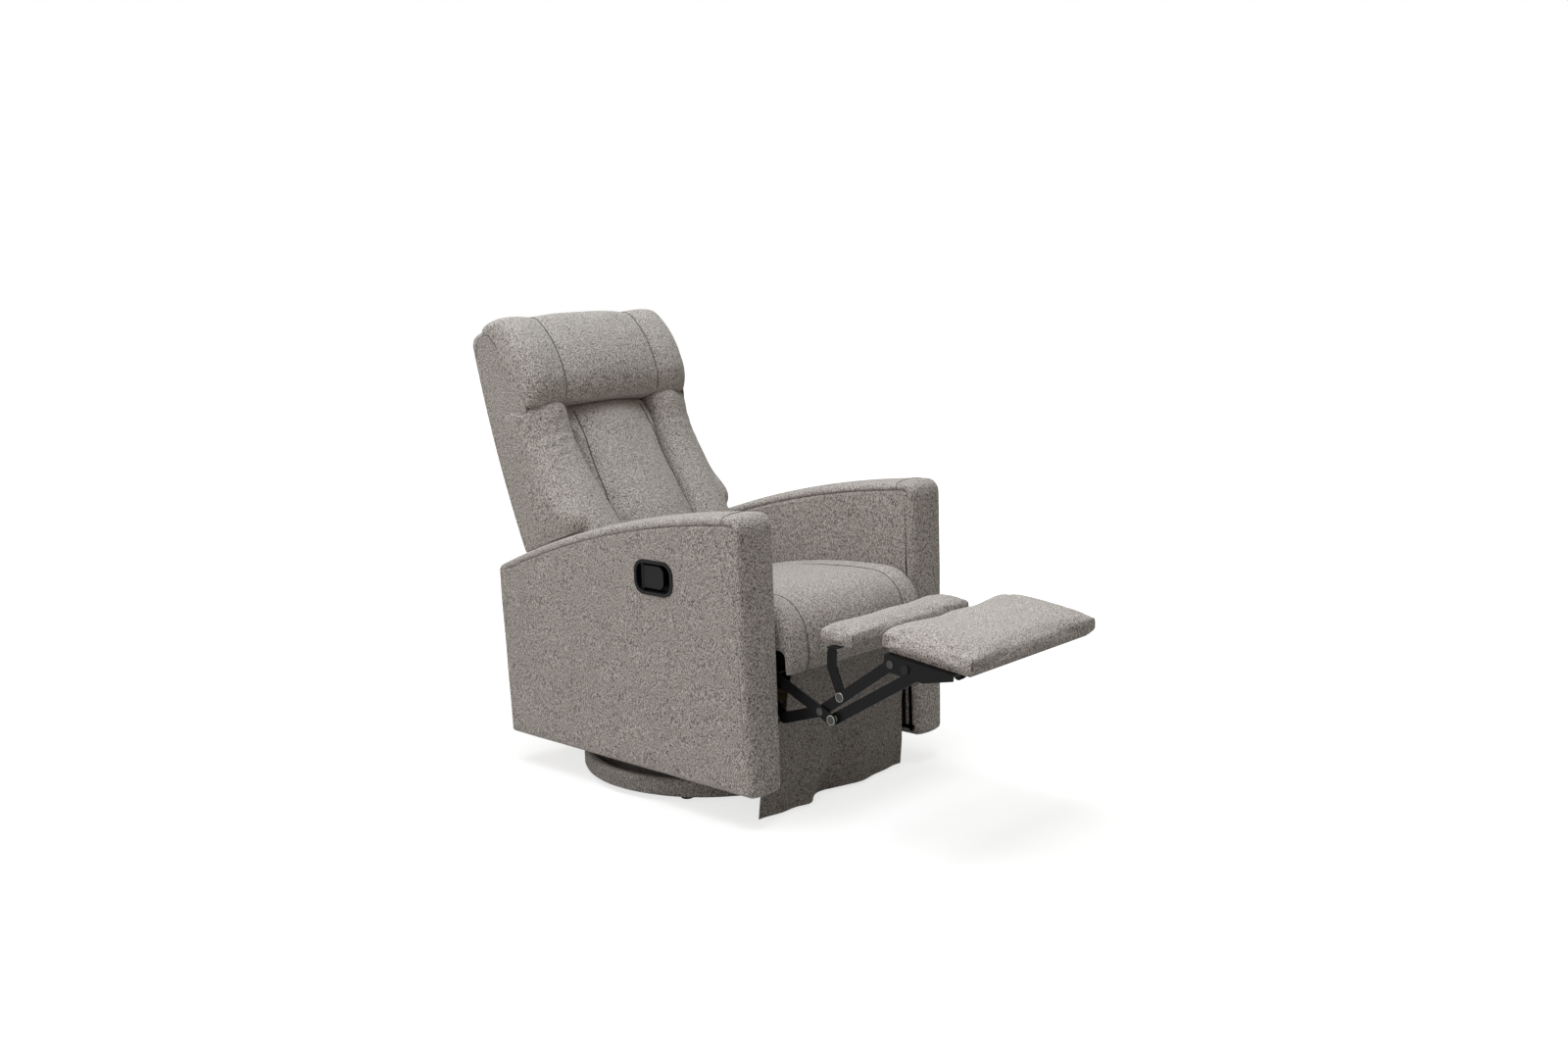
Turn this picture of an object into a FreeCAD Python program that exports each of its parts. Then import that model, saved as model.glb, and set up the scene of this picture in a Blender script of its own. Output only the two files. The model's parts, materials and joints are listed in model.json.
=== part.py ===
import FreeCAD, Part
import math
import os

os.makedirs("parts", exist_ok=True)

V = FreeCAD.Vector

# Swivel rocker recliner, millimetres, +Z up, front at -Y, release lever on the -X arm.
# The pose that is modelled has the footrest out.

# Overall and arms
WIDTH = 680.0
ARM_THICK = 106.0
ARM_FRONT = -382.0
ARM_REAR = 445.0
ARM_BOTTOM = 73.0
ARM_CREST_FRONT = 679.0
ARM_CREST_MID = 612.0
ARM_CREST_MID_Y = 76.0
ARM_CREST_REAR = 490.0
ARM_FRONT_ROUND = 26.0
ARM_REAR_ROUND = 15.0
ARM_EDGE_ROUND = 12.0
ARM_TAPER = 10.0
ARM_TAPER_TOP = 440.0
ARM_FOAM = 24.0
ARM_FRAME_THICK = 52.0
ARM_FRAME_MEMBER = 62.0
FRAME_SIDE_FOAM = 18.0

# Round base and swivel
SWIVEL_Y = 45.0
BASE_RADIUS = 332.0
BASE_BAND_THICK = 20.0
BASE_BOARD_THICK = 18.0
BASE_BAND_TOP = 52.0
BASE_BAND_ROUND = 9.0
GLIDE_HEIGHT = 12.0
GLIDE_RADIUS = 15.0
GLIDE_INSET = 16.0
GLIDE_ROUND = 2.5
BASE_BELLY = 2.0
GLIDE_COUNT = 6
PLATE_RADIUS = 112.0
PLATE_THICK = 6.0
BALL_RADIUS = 5.0
BALL_CIRCLE = 84.0
BALL_COUNT = 16
BALL_SINK = 2.0
BALL_CLEAR = 0.3
POST_RADIUS = 15.0
POST_FLANGE_RADIUS = 23.0
POST_FLANGE_THICK = 9.0
BOARD_HOLE_RADIUS = 32.0
PLATE_BOLT_CIRCLE = 101.0
PLATE_BOLT_RADIUS = 3.5
PLATE_BOLT_COUNT = 4

# Rocker
RUN_CLEAR = 0.06
BED_HALF_X = 184.0
BED_HALF_Y = 135.0
BED_THICK = 6.0
AXLE_RISE = 43.0
AXLE_RADIUS = 9.0
AXLE_HALF = 147.0
LUG_IN = 112.0
LUG_THICK = 12.0
LUG_HALF_Y = 34.0
LUG_OVER_AXLE = 17.0
SADDLE_GAP = 4.0
ROCKER_RAIL_THICK = 32.0
ROCKER_RAIL_TALL = 30.0
ROCKER_RAIL_RISE = 68.0
STRETCHER_DEEP = 40.0
STRETCHER_TALL = 48.0
FRONT_STRETCHER_Y = -15.0
REAR_STRETCHER_Y = 222.0
SPRING_RADIUS = 17.0
SPRING_WIRE = 3.0
SPRING_TURNS = 5
SPRING_OUT_Y = 104.0
RAIL_PAST_SPRING = 2.0
SEAT_CUP = 0.4

# Seat
SEAT_FRONT = -409.0
SEAT_REAR = 116.0
SEAT_TOP_FRONT = 486.0
SEAT_TOP_REAR = 434.0
SEAT_LIP_BOTTOM = 321.0
SEAT_FRONT_ROUND = 92.0
SEAT_SIDE_GAP = 1.6
SEAT_CROWN = 14.0
SEAT_SEAM_IN = 68.0
SEAT_SEAM_DIP = 4.0
LIP_THICK = 17.0
RAIL_BOTTOM = 340.0
RAIL_TOP = 374.0
RAIL_THICK = 26.0
SIDE_RAIL_GAP = 28.0
REAR_PANEL_Y = 422.0
REAR_PANEL_THICK = 16.0
REAR_PANEL_LOW = 78.0
REAR_PANEL_TOP = 332.0
WIRE_RADIUS = 1.8
WIRE_COUNT = 5
WIRE_SIDE_GAP = 56.0
WIRE_SWING = 22.0
WIRE_LOOPS = 9

# Front skirt cloth
SKIRT_SIDE_GAP = 29.0
SKIRT_FLARE_LEFT = 70.0
SKIRT_FLARE_RIGHT = 3.0
SKIRT_HEM_Z = 8.0
SKIRT_SETBACK = 30.0
SKIRT_HEM_BACK = 38.0
SKIRT_TUCK = 6.0
SKIRT_FREE_Z = 66.0
SKIRT_CLOTH = 2.4
SKIRT_WAVE = 8.0
SKIRT_WAVES = 5

# Footrest pads, the pose with the footrest out
PAD_REAR_Y = -654.0
PAD_REAR_Z = 457.0
PAD_TILT = 6.3
PAD_DEEP = 230.0
PAD_SIDE_GAP = 12.0
PAD_THICK = 32.0
PAD_CROWN = 9.0
PAD_BULGE = 5.0
PAD_BOARD_THICK = 10.0
PAD_BOARD_IN = 14.0
FLIP_SIDE_GAP = 31.0
FLIP_DEEP = 94.0
FLIP_REAR_Y = -470.0
FLIP_TOP = 434.0
FLIP_THICK = 24.0
FLIP_BOARD_THICK = 8.0
FLIP_BOARD_IN = 8.0

# Footrest linkage, side view points (y, z) with the footrest out
P_REAR = (-300.0, 345.0)
CROSS = (-490.0, 263.0)
KNEE = (-520.0, 249.0)
TAIL = (-380.0, 228.0)
O1_ALONG = 35.5
O1_DEPTH = 60.0
O2_ALONG = 102.7
O2_DEPTH = 62.0
FLIP_PIVOT = (-540.0, 300.0)
CLOSED_PAD_FRONT = -404.0
CLOSED_PAD_TOP = 299.0
FLIP_TURN = 110.0
P_TAIL = (-205.0, 349.0)
LINK_HALF = 12.0
LINK_THICK = 4.0
LAYER_GAP = 2.0
PLATE_STEEL = 4.0
PLATE_BELOW = 22.0
PLATE_AHEAD = 26.0
PLATE_BEHIND = 30.0
PLATE_TOP_DROP = 2.0
PIN_RADIUS = 5.0
PIN_HEAD = 8.5
PIN_HEAD_THICK = 1.5
SPACER_RADIUS = 7.5
STUD_BACK = 8.0
STUD_DROP = 8.0
TUBE_ALONG = 52.0
TUBE_RADIUS = 8.0
TUBE_WALL = 1.5
BUMPER_RADIUS = 9.0
BUMPER_THICK = 4.5
BUMPER_ALONG = 74.0
BUMPER_DEPTH = 70.0
BRACKET_FLANGE_REACH = 46.0
FLANGE_THICK = 3.0

# Back, worked in its own frame: w up along the back, n towards the sitter
BACK_Y = 300.0
BACK_Z = 300.0
BACK_LEAN = 20.0
WING_OVER_ARM = 32.0
BACK_SIDE_GAP = 6.0
WING_FOOT = 241.0
WING_LAP = 2.0
BACK_PAD_FOOT = 66.0
BACK_FRAME_FRONT = 13.0
BACK_FRAME_REAR = -30.0
BACK_COVER_FRONT = 15.0
BACK_COVER_FOOT = 26.0
BACK_COVER_TOP = 792.0
BACK_REAR_FOOT = 36.0
BACK_REAR_BELLY = 63.0
BACK_BELLY_W = 400.0
BACK_REAR_TOP = 36.0
BACK_TOP_ROUND = 30.0
BACK_EDGE_ROUND = 13.0
POST_SIDE_GAP = 22.0
BACK_POST_THICK = 27.0
BACK_POST_TOP = 735.0
BACK_RAIL_TALL = 46.0
BACK_SEAM_GAP = 0.5
HEAD_FOOT = 566.0
HEAD_TOP = 803.0
HEAD_FRONT = 148.0
HEAD_SEAM_IN = 123.0
HEAD_SEAM_DIP = 4.0
HEAD_OVER_WING = 7.0
WEB_COUNT = 6
WEB_WIDE = 52.0
BACK_PIN_RADIUS = 7.0
HINGE_PLATE_HALF = 34.0
HINGE_PLATE_UP = 30.0
HINGE_PLATE_DOWN = 60.0
POST_BELOW = 16.0
FOOT_RAIL_UP = 4.0
MID_RAIL_W = 380.0
STRAP_FIRST = 110.0
STRAP_LAST_DROP = 80.0
CHANNEL_W = (60.0, 150.0, 220.0, 270.0, 330.0, 389.0, 446.0, 502.0, 560.0)
CHANNEL_FRONT = (186.0, 194.0, 189.0, 176.0, 157.0, 139.0, 126.0, 120.0, 120.0)
CHANNEL_FOOT_ROUND = 26.0
CHANNEL_TOP_ROUND = 22.0
CHANNEL_FALL = 26.0
CHANNEL_CROWN = 4.0
WING_FALL = 52.0
WING_JOIN_FALL = 14.0
WING_MID_FALL = 22.0
WING_SWELL = 8.0
MIDDLE_IN_LOW = 114.0
MIDDLE_IN_TOP = 92.0

# Release lever on the -X arm
CUP_Y = -117.0
CUP_Z = 524.0
CUP_LONG = 122.0
CUP_TALL = 78.0
CUP_FLANGE = 5.0
CUP_PROUD = 3.0
CUP_DEEP = 25.0
CUP_WALL = 2.5
CUP_CORNER = 30.0
PADDLE_LONG = 66.0
PADDLE_TALL = 50.0
PADDLE_THICK = 6.0
PADDLE_BELOW = 4.0
PADDLE_BARREL = 5.0
LEVER_PIN_RADIUS = 2.0
LEVER_PIN_BACK = 16.0
LEVER_PIN_END = 3.0
CUP_SCREW_RADIUS = 3.0

# Sizes that follow from others
ARM_IN = WIDTH / 2 - ARM_THICK
BASE_BOARD_RADIUS = BASE_RADIUS - BASE_BAND_THICK
GLIDE_CIRCLE = BASE_BOARD_RADIUS - GLIDE_INSET
SEAT_SEAM_X = ARM_IN - SEAT_SEAM_IN
SIDE_RAIL_OUT = ARM_IN - SIDE_RAIL_GAP
WIRE_SPACING = 2 * (SIDE_RAIL_OUT - RAIL_THICK - WIRE_SIDE_GAP) / (WIRE_COUNT - 1)
SKIRT_HALF = ARM_IN - SKIRT_SIDE_GAP
PAD_HALF = ARM_IN - PAD_SIDE_GAP
FLIP_HALF = ARM_IN - FLIP_SIDE_GAP
BRACKET_FLANGE_IN = ARM_IN - BRACKET_FLANGE_REACH
BACK_WIDE_HALF = ARM_IN + WING_OVER_ARM
BACK_NARROW_HALF = ARM_IN - BACK_SIDE_GAP
BACK_POST_OUT = ARM_IN - POST_SIDE_GAP
HEAD_HALF = BACK_WIDE_HALF + HEAD_OVER_WING
HEAD_SEAM_X = HEAD_HALF - HEAD_SEAM_IN
nodes = {}


def box(x0, x1, y0, y1, z0, z1):
    """Box between two corners."""
    return Part.makeBox(x1 - x0, y1 - y0, z1 - z0, V(x0, y0, z0))


def cyl_x(x0, x1, y, z, radius):
    """Cylinder along X between two x values."""
    return Part.makeCylinder(radius, x1 - x0, V(x0, y, z), V(1, 0, 0))


def cyl_z(x, y, z0, z1, radius):
    """Cylinder along Z between two heights."""
    return Part.makeCylinder(radius, z1 - z0, V(x, y, z0), V(0, 0, 1))


def mirror(shape):
    """Copy on the other side of the chair."""
    return shape.mirror(V(0, 0, 0), V(1, 0, 0))


def pair(shape):
    """The shape and its mirror copy as one group."""
    return Part.makeCompound([shape, mirror(shape)])


def line(a, b):
    return Part.LineSegment(a, b).toShape()


def arc(a, m, b):
    return Part.Arc(a, m, b).toShape()


def prism_x(edges, x0, x1):
    """Solid between x0 and x1 over a closed outline drawn at x = 0."""
    face = Part.Face(Part.Wire(edges))
    face.translate(V(x0, 0, 0))
    return face.extrude(V(x1 - x0, 0, 0))


def outline(points):
    """Closed outline of straight lines through side view points (y, z)."""
    corners = [V(0, y, z) for y, z in points]
    return [line(corners[i - 1], corners[i]) for i in range(len(corners))]


def union(shapes):
    whole = shapes[0].multiFuse(shapes[1:])
    return whole.removeSplitter()


def turn(point, centre, degrees):
    """Side view point turned about a centre, from +Y towards +Z."""
    c = math.cos(math.radians(degrees))
    s = math.sin(math.radians(degrees))
    y = point[0] - centre[0]
    z = point[1] - centre[1]
    return (centre[0] + c * y - s * z, centre[1] + s * y + c * z)


def heading(a, b):
    return math.degrees(math.atan2(b[1] - a[1], b[0] - a[0]))


def span(a, b):
    return math.hypot(b[0] - a[0], b[1] - a[1])


def meet(a, ra, b, rb, side):
    """Where circles about a and b cross, on the given side of the line from a to b."""
    d = span(a, b)
    along = (d * d + ra * ra - rb * rb) / (2 * d)
    off = side * math.sqrt(ra * ra - along * along)
    uy = (b[0] - a[0]) / d
    uz = (b[1] - a[1]) / d
    return (a[0] + along * uy - off * uz, a[1] + along * uz + off * uy)


# Footrest linkage worked out from the two end poses

def pad_point(along, depth):
    """Point on the open footrest: along the pad from its rear top edge, and below its top."""
    a = math.radians(PAD_TILT)
    y = PAD_REAR_Y - along * math.cos(a) + depth * math.sin(a)
    z = PAD_REAR_Z - along * math.sin(a) - depth * math.cos(a)
    return (y, z)


def closed_point(along, depth):
    """The same point with the footrest folded, pad upright."""
    return (CLOSED_PAD_FRONT + depth, CLOSED_PAD_TOP - along)


O1 = pad_point(O1_ALONG, O1_DEPTH)
O2 = pad_point(O2_ALONG, O2_DEPTH)
O1_SHUT = closed_point(O1_ALONG, O1_DEPTH)
O2_SHUT = closed_point(O2_ALONG, O2_DEPTH)
CROSS_SHUT = meet(P_REAR, span(P_REAR, CROSS), O1_SHUT, span(CROSS, O1), 1)
REAR_TURN = (heading(P_REAR, CROSS_SHUT) - heading(P_REAR, CROSS)) % 360
FRONT_TURN = (heading(CROSS_SHUT, O1_SHUT) - heading(CROSS, O1) + 180) % 360 - 180
PAD_TURN = 90.0 - PAD_TILT
KNEE_SHUT = turn(KNEE, P_REAR, REAR_TURN)
TOP_TURN = (heading(KNEE_SHUT, O2_SHUT) - heading(KNEE, O2) + 180) % 360 - 180
TAIL_OUT = turn((TAIL[0] - CROSS[0], TAIL[1] - CROSS[1]), (0, 0), FRONT_TURN)
TAIL_SHUT = (CROSS_SHUT[0] + TAIL_OUT[0], CROSS_SHUT[1] + TAIL_OUT[1])
TAIL_TURN = (heading(P_TAIL, TAIL_SHUT) - heading(P_TAIL, TAIL)) % 360

# Layers across the chair, measured from the middle; links lie between arm and pads
PLATE_OUT = ARM_IN
PLATE_IN = PLATE_OUT - PLATE_STEEL
REAR_OUT = PLATE_IN - LAYER_GAP
REAR_IN = REAR_OUT - LINK_THICK
FRONT_OUT = REAR_IN - LAYER_GAP
FRONT_IN = FRONT_OUT - LINK_THICK
TOP_OUT = FRONT_IN - LAYER_GAP
TOP_IN = TOP_OUT - LINK_THICK


def bar(points, half, x0, x1, holes):
    """Flat bar with round ends through side view points, drilled at the holes."""
    pieces = []
    for a, b in zip(points, points[1:]):
        length = span(a, b)
        flat = box(x0, x1, 0, length, -half, half)
        flat.rotate(V(0, 0, 0), V(1, 0, 0), heading(a, b))
        flat.translate(V(0, a[0], a[1]))
        pieces.append(flat)
    for p in points:
        pieces.append(cyl_x(x0, x1, p[0], p[1], half))
    whole = union(pieces)
    for p in holes:
        whole = whole.cut(cyl_x(x0 - 1, x1 + 1, p[0], p[1], PIN_RADIUS + RUN_CLEAR))
    return whole


def rivet(point, x_in, x_out):
    """Pin through two layers with thin heads inside and outside."""
    y, z = point
    shank = cyl_x(x_in, x_out, y, z, PIN_RADIUS)
    inner = cyl_x(x_in - PIN_HEAD_THICK, x_in, y, z, PIN_HEAD)
    outer = cyl_x(x_out, x_out + PIN_HEAD_THICK, y, z, PIN_HEAD)
    return union([inner, shank, outer])


def spacer(point, x_in, x_out):
    """Ring round a pin between two layers, with a little side play."""
    y, z = point
    ring = cyl_x(x_in + BALL_CLEAR, x_out - BALL_CLEAR, y, z, SPACER_RADIUS)
    return ring.cut(cyl_x(x_in, x_out, y, z, PIN_RADIUS + RUN_CLEAR))


def make_rear_links():
    bar_shape = bar([P_REAR, CROSS, KNEE], LINK_HALF, REAR_IN, REAR_OUT, [P_REAR, CROSS, KNEE])
    tube_at = rear_tube_point()
    bar_shape = bar_shape.cut(cyl_x(REAR_IN - 1, REAR_OUT + 1, tube_at[0], tube_at[1], TUBE_RADIUS))
    nodes["rear_links"] = pair(bar_shape)
    pins = [rivet(CROSS, FRONT_IN, REAR_OUT), rivet(KNEE, TOP_IN, REAR_OUT)]
    both = pins + [mirror(p) for p in pins]
    nodes["rear_link_rivets"] = Part.makeCompound(both)
    rings = [spacer(KNEE, TOP_OUT, REAR_IN), spacer(CROSS, FRONT_OUT, REAR_IN)]
    nodes["pale_washers"] = Part.makeCompound(rings + [mirror(r) for r in rings])
    tube = cyl_x(-REAR_OUT, REAR_OUT, tube_at[0], tube_at[1], TUBE_RADIUS)
    bore = cyl_x(-REAR_OUT, REAR_OUT, tube_at[0], tube_at[1], TUBE_RADIUS - TUBE_WALL)
    nodes["link_cross_tube"] = tube.cut(bore)


def rear_tube_point():
    """Centre of the cross tube that ties the left and right rear links."""
    a = math.radians(heading(P_REAR, CROSS))
    return (P_REAR[0] + TUBE_ALONG * math.cos(a), P_REAR[1] + TUBE_ALONG * math.sin(a))


def make_front_links():
    holes = [CROSS, O1, FLIP_PIVOT]
    bar_shape = bar([TAIL, CROSS, O1], LINK_HALF, FRONT_IN, FRONT_OUT, [CROSS, O1])
    ear = cyl_x(FRONT_IN, FRONT_OUT, FLIP_PIVOT[0], FLIP_PIVOT[1], LINK_HALF)
    whole = union([bar_shape, ear])
    for p in holes:
        whole = whole.cut(cyl_x(FRONT_IN - 1, FRONT_OUT + 1, p[0], p[1], PIN_RADIUS + RUN_CLEAR))
    nodes["front_links"] = pair(whole)
    nodes["front_link_rivets"] = pair(rivet(FLIP_PIVOT, TOP_IN, FRONT_OUT))


def make_top_links():
    whole = bar([KNEE, O2], LINK_HALF, TOP_IN, TOP_OUT, [KNEE])
    stud = cyl_x(TOP_OUT, REAR_IN - BALL_CLEAR, O2[0], O2[1], SPACER_RADIUS)
    nodes["top_links"] = pair(union([whole, stud]))


def make_control_links():
    whole = bar([P_TAIL, TAIL], LINK_HALF, TOP_IN, TOP_OUT, [P_TAIL])
    stud = cyl_x(TOP_OUT, FRONT_IN - BALL_CLEAR, TAIL[0], TAIL[1], SPACER_RADIUS)
    nodes["control_links"] = pair(union([whole, stud]))


def make_mechanism_plates():
    low = P_REAR[1] - PLATE_BELOW
    high = RAIL_TOP - PLATE_TOP_DROP
    front = P_REAR[0] - PLATE_AHEAD
    rear = P_TAIL[0] + PLATE_BEHIND
    shape = prism_x(outline([(front, low), (rear, low), (rear, high), (front, high)]), PLATE_IN, PLATE_OUT)
    studs = [cyl_x(SIDE_RAIL_OUT, PLATE_IN, p[0] + STUD_BACK, RAIL_TOP - STUD_DROP, PIN_RADIUS)
             for p in (P_REAR, P_TAIL)]
    shape = union([shape] + studs)
    for p in (P_REAR, P_TAIL):
        shape = shape.cut(cyl_x(PLATE_IN - 1, PLATE_OUT + 1, p[0], p[1], PIN_RADIUS))
    nodes["mechanism_plates"] = pair(shape)
    rear_pin = union([cyl_x(REAR_IN, PLATE_OUT, P_REAR[0], P_REAR[1], PIN_RADIUS),
                      cyl_x(REAR_IN - PIN_HEAD_THICK, REAR_IN - BALL_CLEAR, P_REAR[0], P_REAR[1], PIN_HEAD),
                      cyl_x(REAR_IN - PIN_HEAD_THICK, REAR_IN, P_REAR[0], P_REAR[1], PIN_RADIUS)])
    tail_pin = union([cyl_x(TOP_IN, PLATE_OUT, P_TAIL[0], P_TAIL[1], PIN_RADIUS),
                      cyl_x(TOP_OUT + BALL_CLEAR, PLATE_IN, P_TAIL[0], P_TAIL[1], SPACER_RADIUS),
                      cyl_x(TOP_IN - PIN_HEAD_THICK, TOP_IN - BALL_CLEAR, P_TAIL[0], P_TAIL[1], PIN_HEAD),
                      cyl_x(TOP_IN - PIN_HEAD_THICK, TOP_IN, P_TAIL[0], P_TAIL[1], PIN_RADIUS)])
    nodes["plate_pins"] = Part.makeCompound([rear_pin, tail_pin, mirror(rear_pin), mirror(tail_pin)])


def tilted_pad_frame(shape, rear_y, top_z, tilt):
    """Moves a pad drawn flat (rear top edge at the origin) to its place on the open footrest."""
    shape.rotate(V(0, 0, 0), V(1, 0, 0), tilt)
    shape.translate(V(0, rear_y, top_z))
    return shape


def pad_section(x, deep, thick, crown, bulge, inset):
    """Closed outline of a stuffed pad at one x: flat under, crowned top, rounded front and rear."""
    rear = -inset
    front = -deep + inset
    top = -inset * 0.6
    low = -thick
    mid = (top + low) / 2
    a = V(x, rear, low)
    b = V(x, rear, top)
    c = V(x, front, top)
    d = V(x, front, low)
    edges = [arc(a, V(x, rear + bulge, mid), b),
             arc(b, V(x, (rear + front) / 2, top + crown), c),
             arc(c, V(x, front - bulge, mid), d),
             line(d, a)]
    return Part.Wire(edges)


def stuffed_pad(half, deep, thick, crown, bulge):
    """Crowned pad with its ends drawn in, rear top edge along X at the origin."""
    stations = ((-1.0, 5.0, 0.35), (-0.93, 0.8, 0.75), (-0.6, 0.0, 1.0), (0.0, 0.0, 1.05),
                (0.6, 0.0, 1.0), (0.93, 0.8, 0.75), (1.0, 5.0, 0.35))
    wires = []
    for share, inset, fullness in stations:
        wires.append(pad_section(share * half, deep, thick, crown * fullness, bulge * fullness, inset))
    return Part.makeLoft(wires, True, False)


def make_footrest():
    pad = stuffed_pad(PAD_HALF, PAD_DEEP, PAD_THICK, PAD_CROWN, PAD_BULGE)
    nodes["footrest_pad"] = tilted_pad_frame(pad, PAD_REAR_Y, PAD_REAR_Z, PAD_TILT)
    edge = PAD_HALF - PAD_BOARD_IN
    low = -PAD_THICK - PAD_BOARD_THICK
    board = box(-edge, edge, PAD_BOARD_IN - PAD_DEEP, -PAD_BOARD_IN, low, -PAD_THICK)
    nodes["footrest_board"] = tilted_pad_frame(board, PAD_REAR_Y, PAD_REAR_Z, PAD_TILT)
    foot = -max(O1_DEPTH, O2_DEPTH) - LINK_HALF - 3
    first = -O1_ALONG + 17
    last = -PAD_DEEP + 40
    web = prism_x(outline([(first, low), (first, foot), (-O2_ALONG - 16, foot), (last, low - 12),
                           (last, low)]), REAR_IN, REAR_OUT)
    flange = box(BRACKET_FLANGE_IN, REAR_OUT, last, first, low - FLANGE_THICK, low)
    bracket = union([web, flange])
    bracket = tilted_pad_frame(bracket, PAD_REAR_Y, PAD_REAR_Z, PAD_TILT)
    bracket = bracket.cut(cyl_x(REAR_IN - 1, REAR_OUT + 1, O1[0], O1[1], PIN_RADIUS))
    nodes["footrest_brackets"] = pair(bracket)
    nodes["footrest_rivets"] = pair(union([
        cyl_x(FRONT_IN, REAR_OUT, O1[0], O1[1], PIN_RADIUS),
        cyl_x(FRONT_IN - PIN_HEAD_THICK, FRONT_IN - BALL_CLEAR, O1[0], O1[1], PIN_HEAD),
        cyl_x(FRONT_IN - PIN_HEAD_THICK, FRONT_IN, O1[0], O1[1], PIN_RADIUS),
        cyl_x(REAR_OUT, REAR_OUT + PIN_HEAD_THICK, O1[0], O1[1], PIN_HEAD)]))
    at = pad_point(BUMPER_ALONG, BUMPER_DEPTH - BUMPER_RADIUS)
    nodes["rubber_bumpers"] = pair(cyl_x(REAR_OUT, REAR_OUT + BUMPER_THICK, at[0], at[1], BUMPER_RADIUS))


def make_flip_pad():
    pad = stuffed_pad(FLIP_HALF, FLIP_DEEP, FLIP_THICK, PAD_CROWN * 0.6, PAD_BULGE * 0.8)
    nodes["flip_pad"] = tilted_pad_frame(pad, FLIP_REAR_Y, FLIP_TOP, 0)
    low = FLIP_TOP - FLIP_THICK - FLIP_BOARD_THICK
    edge = FLIP_HALF - FLIP_BOARD_IN
    front = FLIP_REAR_Y - FLIP_DEEP
    nodes["flip_board"] = box(-edge, edge, front + FLIP_BOARD_IN, FLIP_REAR_Y - FLIP_BOARD_IN,
                              low, low + FLIP_BOARD_THICK)
    mid = FLIP_REAR_Y - FLIP_DEEP / 2
    knee = (mid + 2, low - 40)
    arm = bar([FLIP_PIVOT, knee, (mid, low - LINK_HALF)], LINK_HALF, TOP_IN, TOP_OUT, [FLIP_PIVOT])
    flange = box(edge - 40, TOP_OUT, mid - LINK_HALF, mid + LINK_HALF, low - FLANGE_THICK, low)
    nodes["flip_brackets"] = pair(union([arm, flange]))


def arm_outline(inset, top_drop, bottom):
    """Side outline of an arm, drawn in by an inset, with the long arc of its top."""
    front = ARM_FRONT + inset
    rear = ARM_REAR - inset
    a = V(0, front, bottom)
    b = V(0, front, ARM_CREST_FRONT - top_drop)
    c = V(0, ARM_CREST_MID_Y, ARM_CREST_MID - top_drop)
    d = V(0, rear, ARM_CREST_REAR - top_drop)
    e = V(0, rear, bottom)
    return [line(a, b), arc(b, c, d), line(d, e), line(e, a)]


def cross_edges(shape, low):
    """Edges that run straight across the chair above a height."""
    return [e for e in shape.Edges if e.BoundBox.XLength > 1.0 and e.BoundBox.ZMin > low]


def arm_solid():
    """Outer form of the +X arm: rounded edges, outer side drawn in towards the floor."""
    out = WIDTH / 2
    shape = prism_x(arm_outline(0, 0, ARM_BOTTOM), ARM_IN, out)
    across = cross_edges(shape, ARM_BOTTOM + 1)
    front = [e for e in across if e.BoundBox.YMax < 0]
    shape = shape.makeFillet(ARM_FRONT_ROUND, front)
    rear = [e for e in cross_edges(shape, ARM_BOTTOM + 1) if e.BoundBox.YMin > ARM_REAR - 1]
    shape = shape.makeFillet(ARM_REAR_ROUND, rear)
    contour = [e for e in shape.Edges if e.BoundBox.XLength < 0.01 and e.BoundBox.ZMax > ARM_BOTTOM + 1]
    shape = shape.makeFillet(ARM_EDGE_ROUND, contour)
    corners = [V(out + 5, 0, ARM_BOTTOM - 5), V(out - ARM_TAPER, 0, ARM_BOTTOM - 5),
               V(out - ARM_TAPER, 0, ARM_BOTTOM), V(out, 0, ARM_TAPER_TOP), V(out + 5, 0, ARM_TAPER_TOP)]
    wedge = Part.Face(Part.makePolygon(corners + corners[:1]))
    wedge.translate(V(0, ARM_FRONT - 5, 0))
    return shape.cut(wedge.extrude(V(0, ARM_REAR - ARM_FRONT + 10, 0)))


def arm_cavity():
    """Space for the wooden frame inside the +X arm, open below."""
    x0 = ARM_IN + FRAME_SIDE_FOAM
    return prism_x(arm_outline(ARM_FOAM, ARM_FOAM, ARM_BOTTOM), x0, x0 + ARM_FRAME_THICK)


def make_arms():
    pad = arm_solid().cut(arm_cavity())
    inner = ARM_FOAM + ARM_FRAME_MEMBER
    x0 = ARM_IN + FRAME_SIDE_FOAM
    window = prism_x(arm_outline(inner, inner, ARM_BOTTOM + ARM_FRAME_MEMBER),
                     x0 - 1, x0 + ARM_FRAME_THICK + 1)
    frame = arm_cavity().cut(window)
    nodes["arm_pad_left"] = pad
    nodes["arm_frame_left"] = frame
    nodes["arm_frame_right"] = mirror(frame)
    nodes["arm_pad_right"] = mirror(pad).cut(cup_body())


def rounded_plate(long, tall, corner, x0, x1):
    """Plate with round corners about the lever centre, between two x values."""
    plate = box(x0, x1, CUP_Y - long / 2, CUP_Y + long / 2, CUP_Z - tall / 2, CUP_Z + tall / 2)
    edges = [e for e in plate.Edges if e.BoundBox.XLength > x1 - x0 - 0.01]
    return plate.makeFillet(corner, edges)


def cup_body():
    """Outer form of the part of the lever cup that sits in the arm."""
    face = -WIDTH / 2
    long = CUP_LONG - 2 * CUP_FLANGE
    tall = CUP_TALL - 2 * CUP_FLANGE
    return rounded_plate(long, tall, CUP_CORNER - CUP_FLANGE, face, face + CUP_DEEP)


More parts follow.
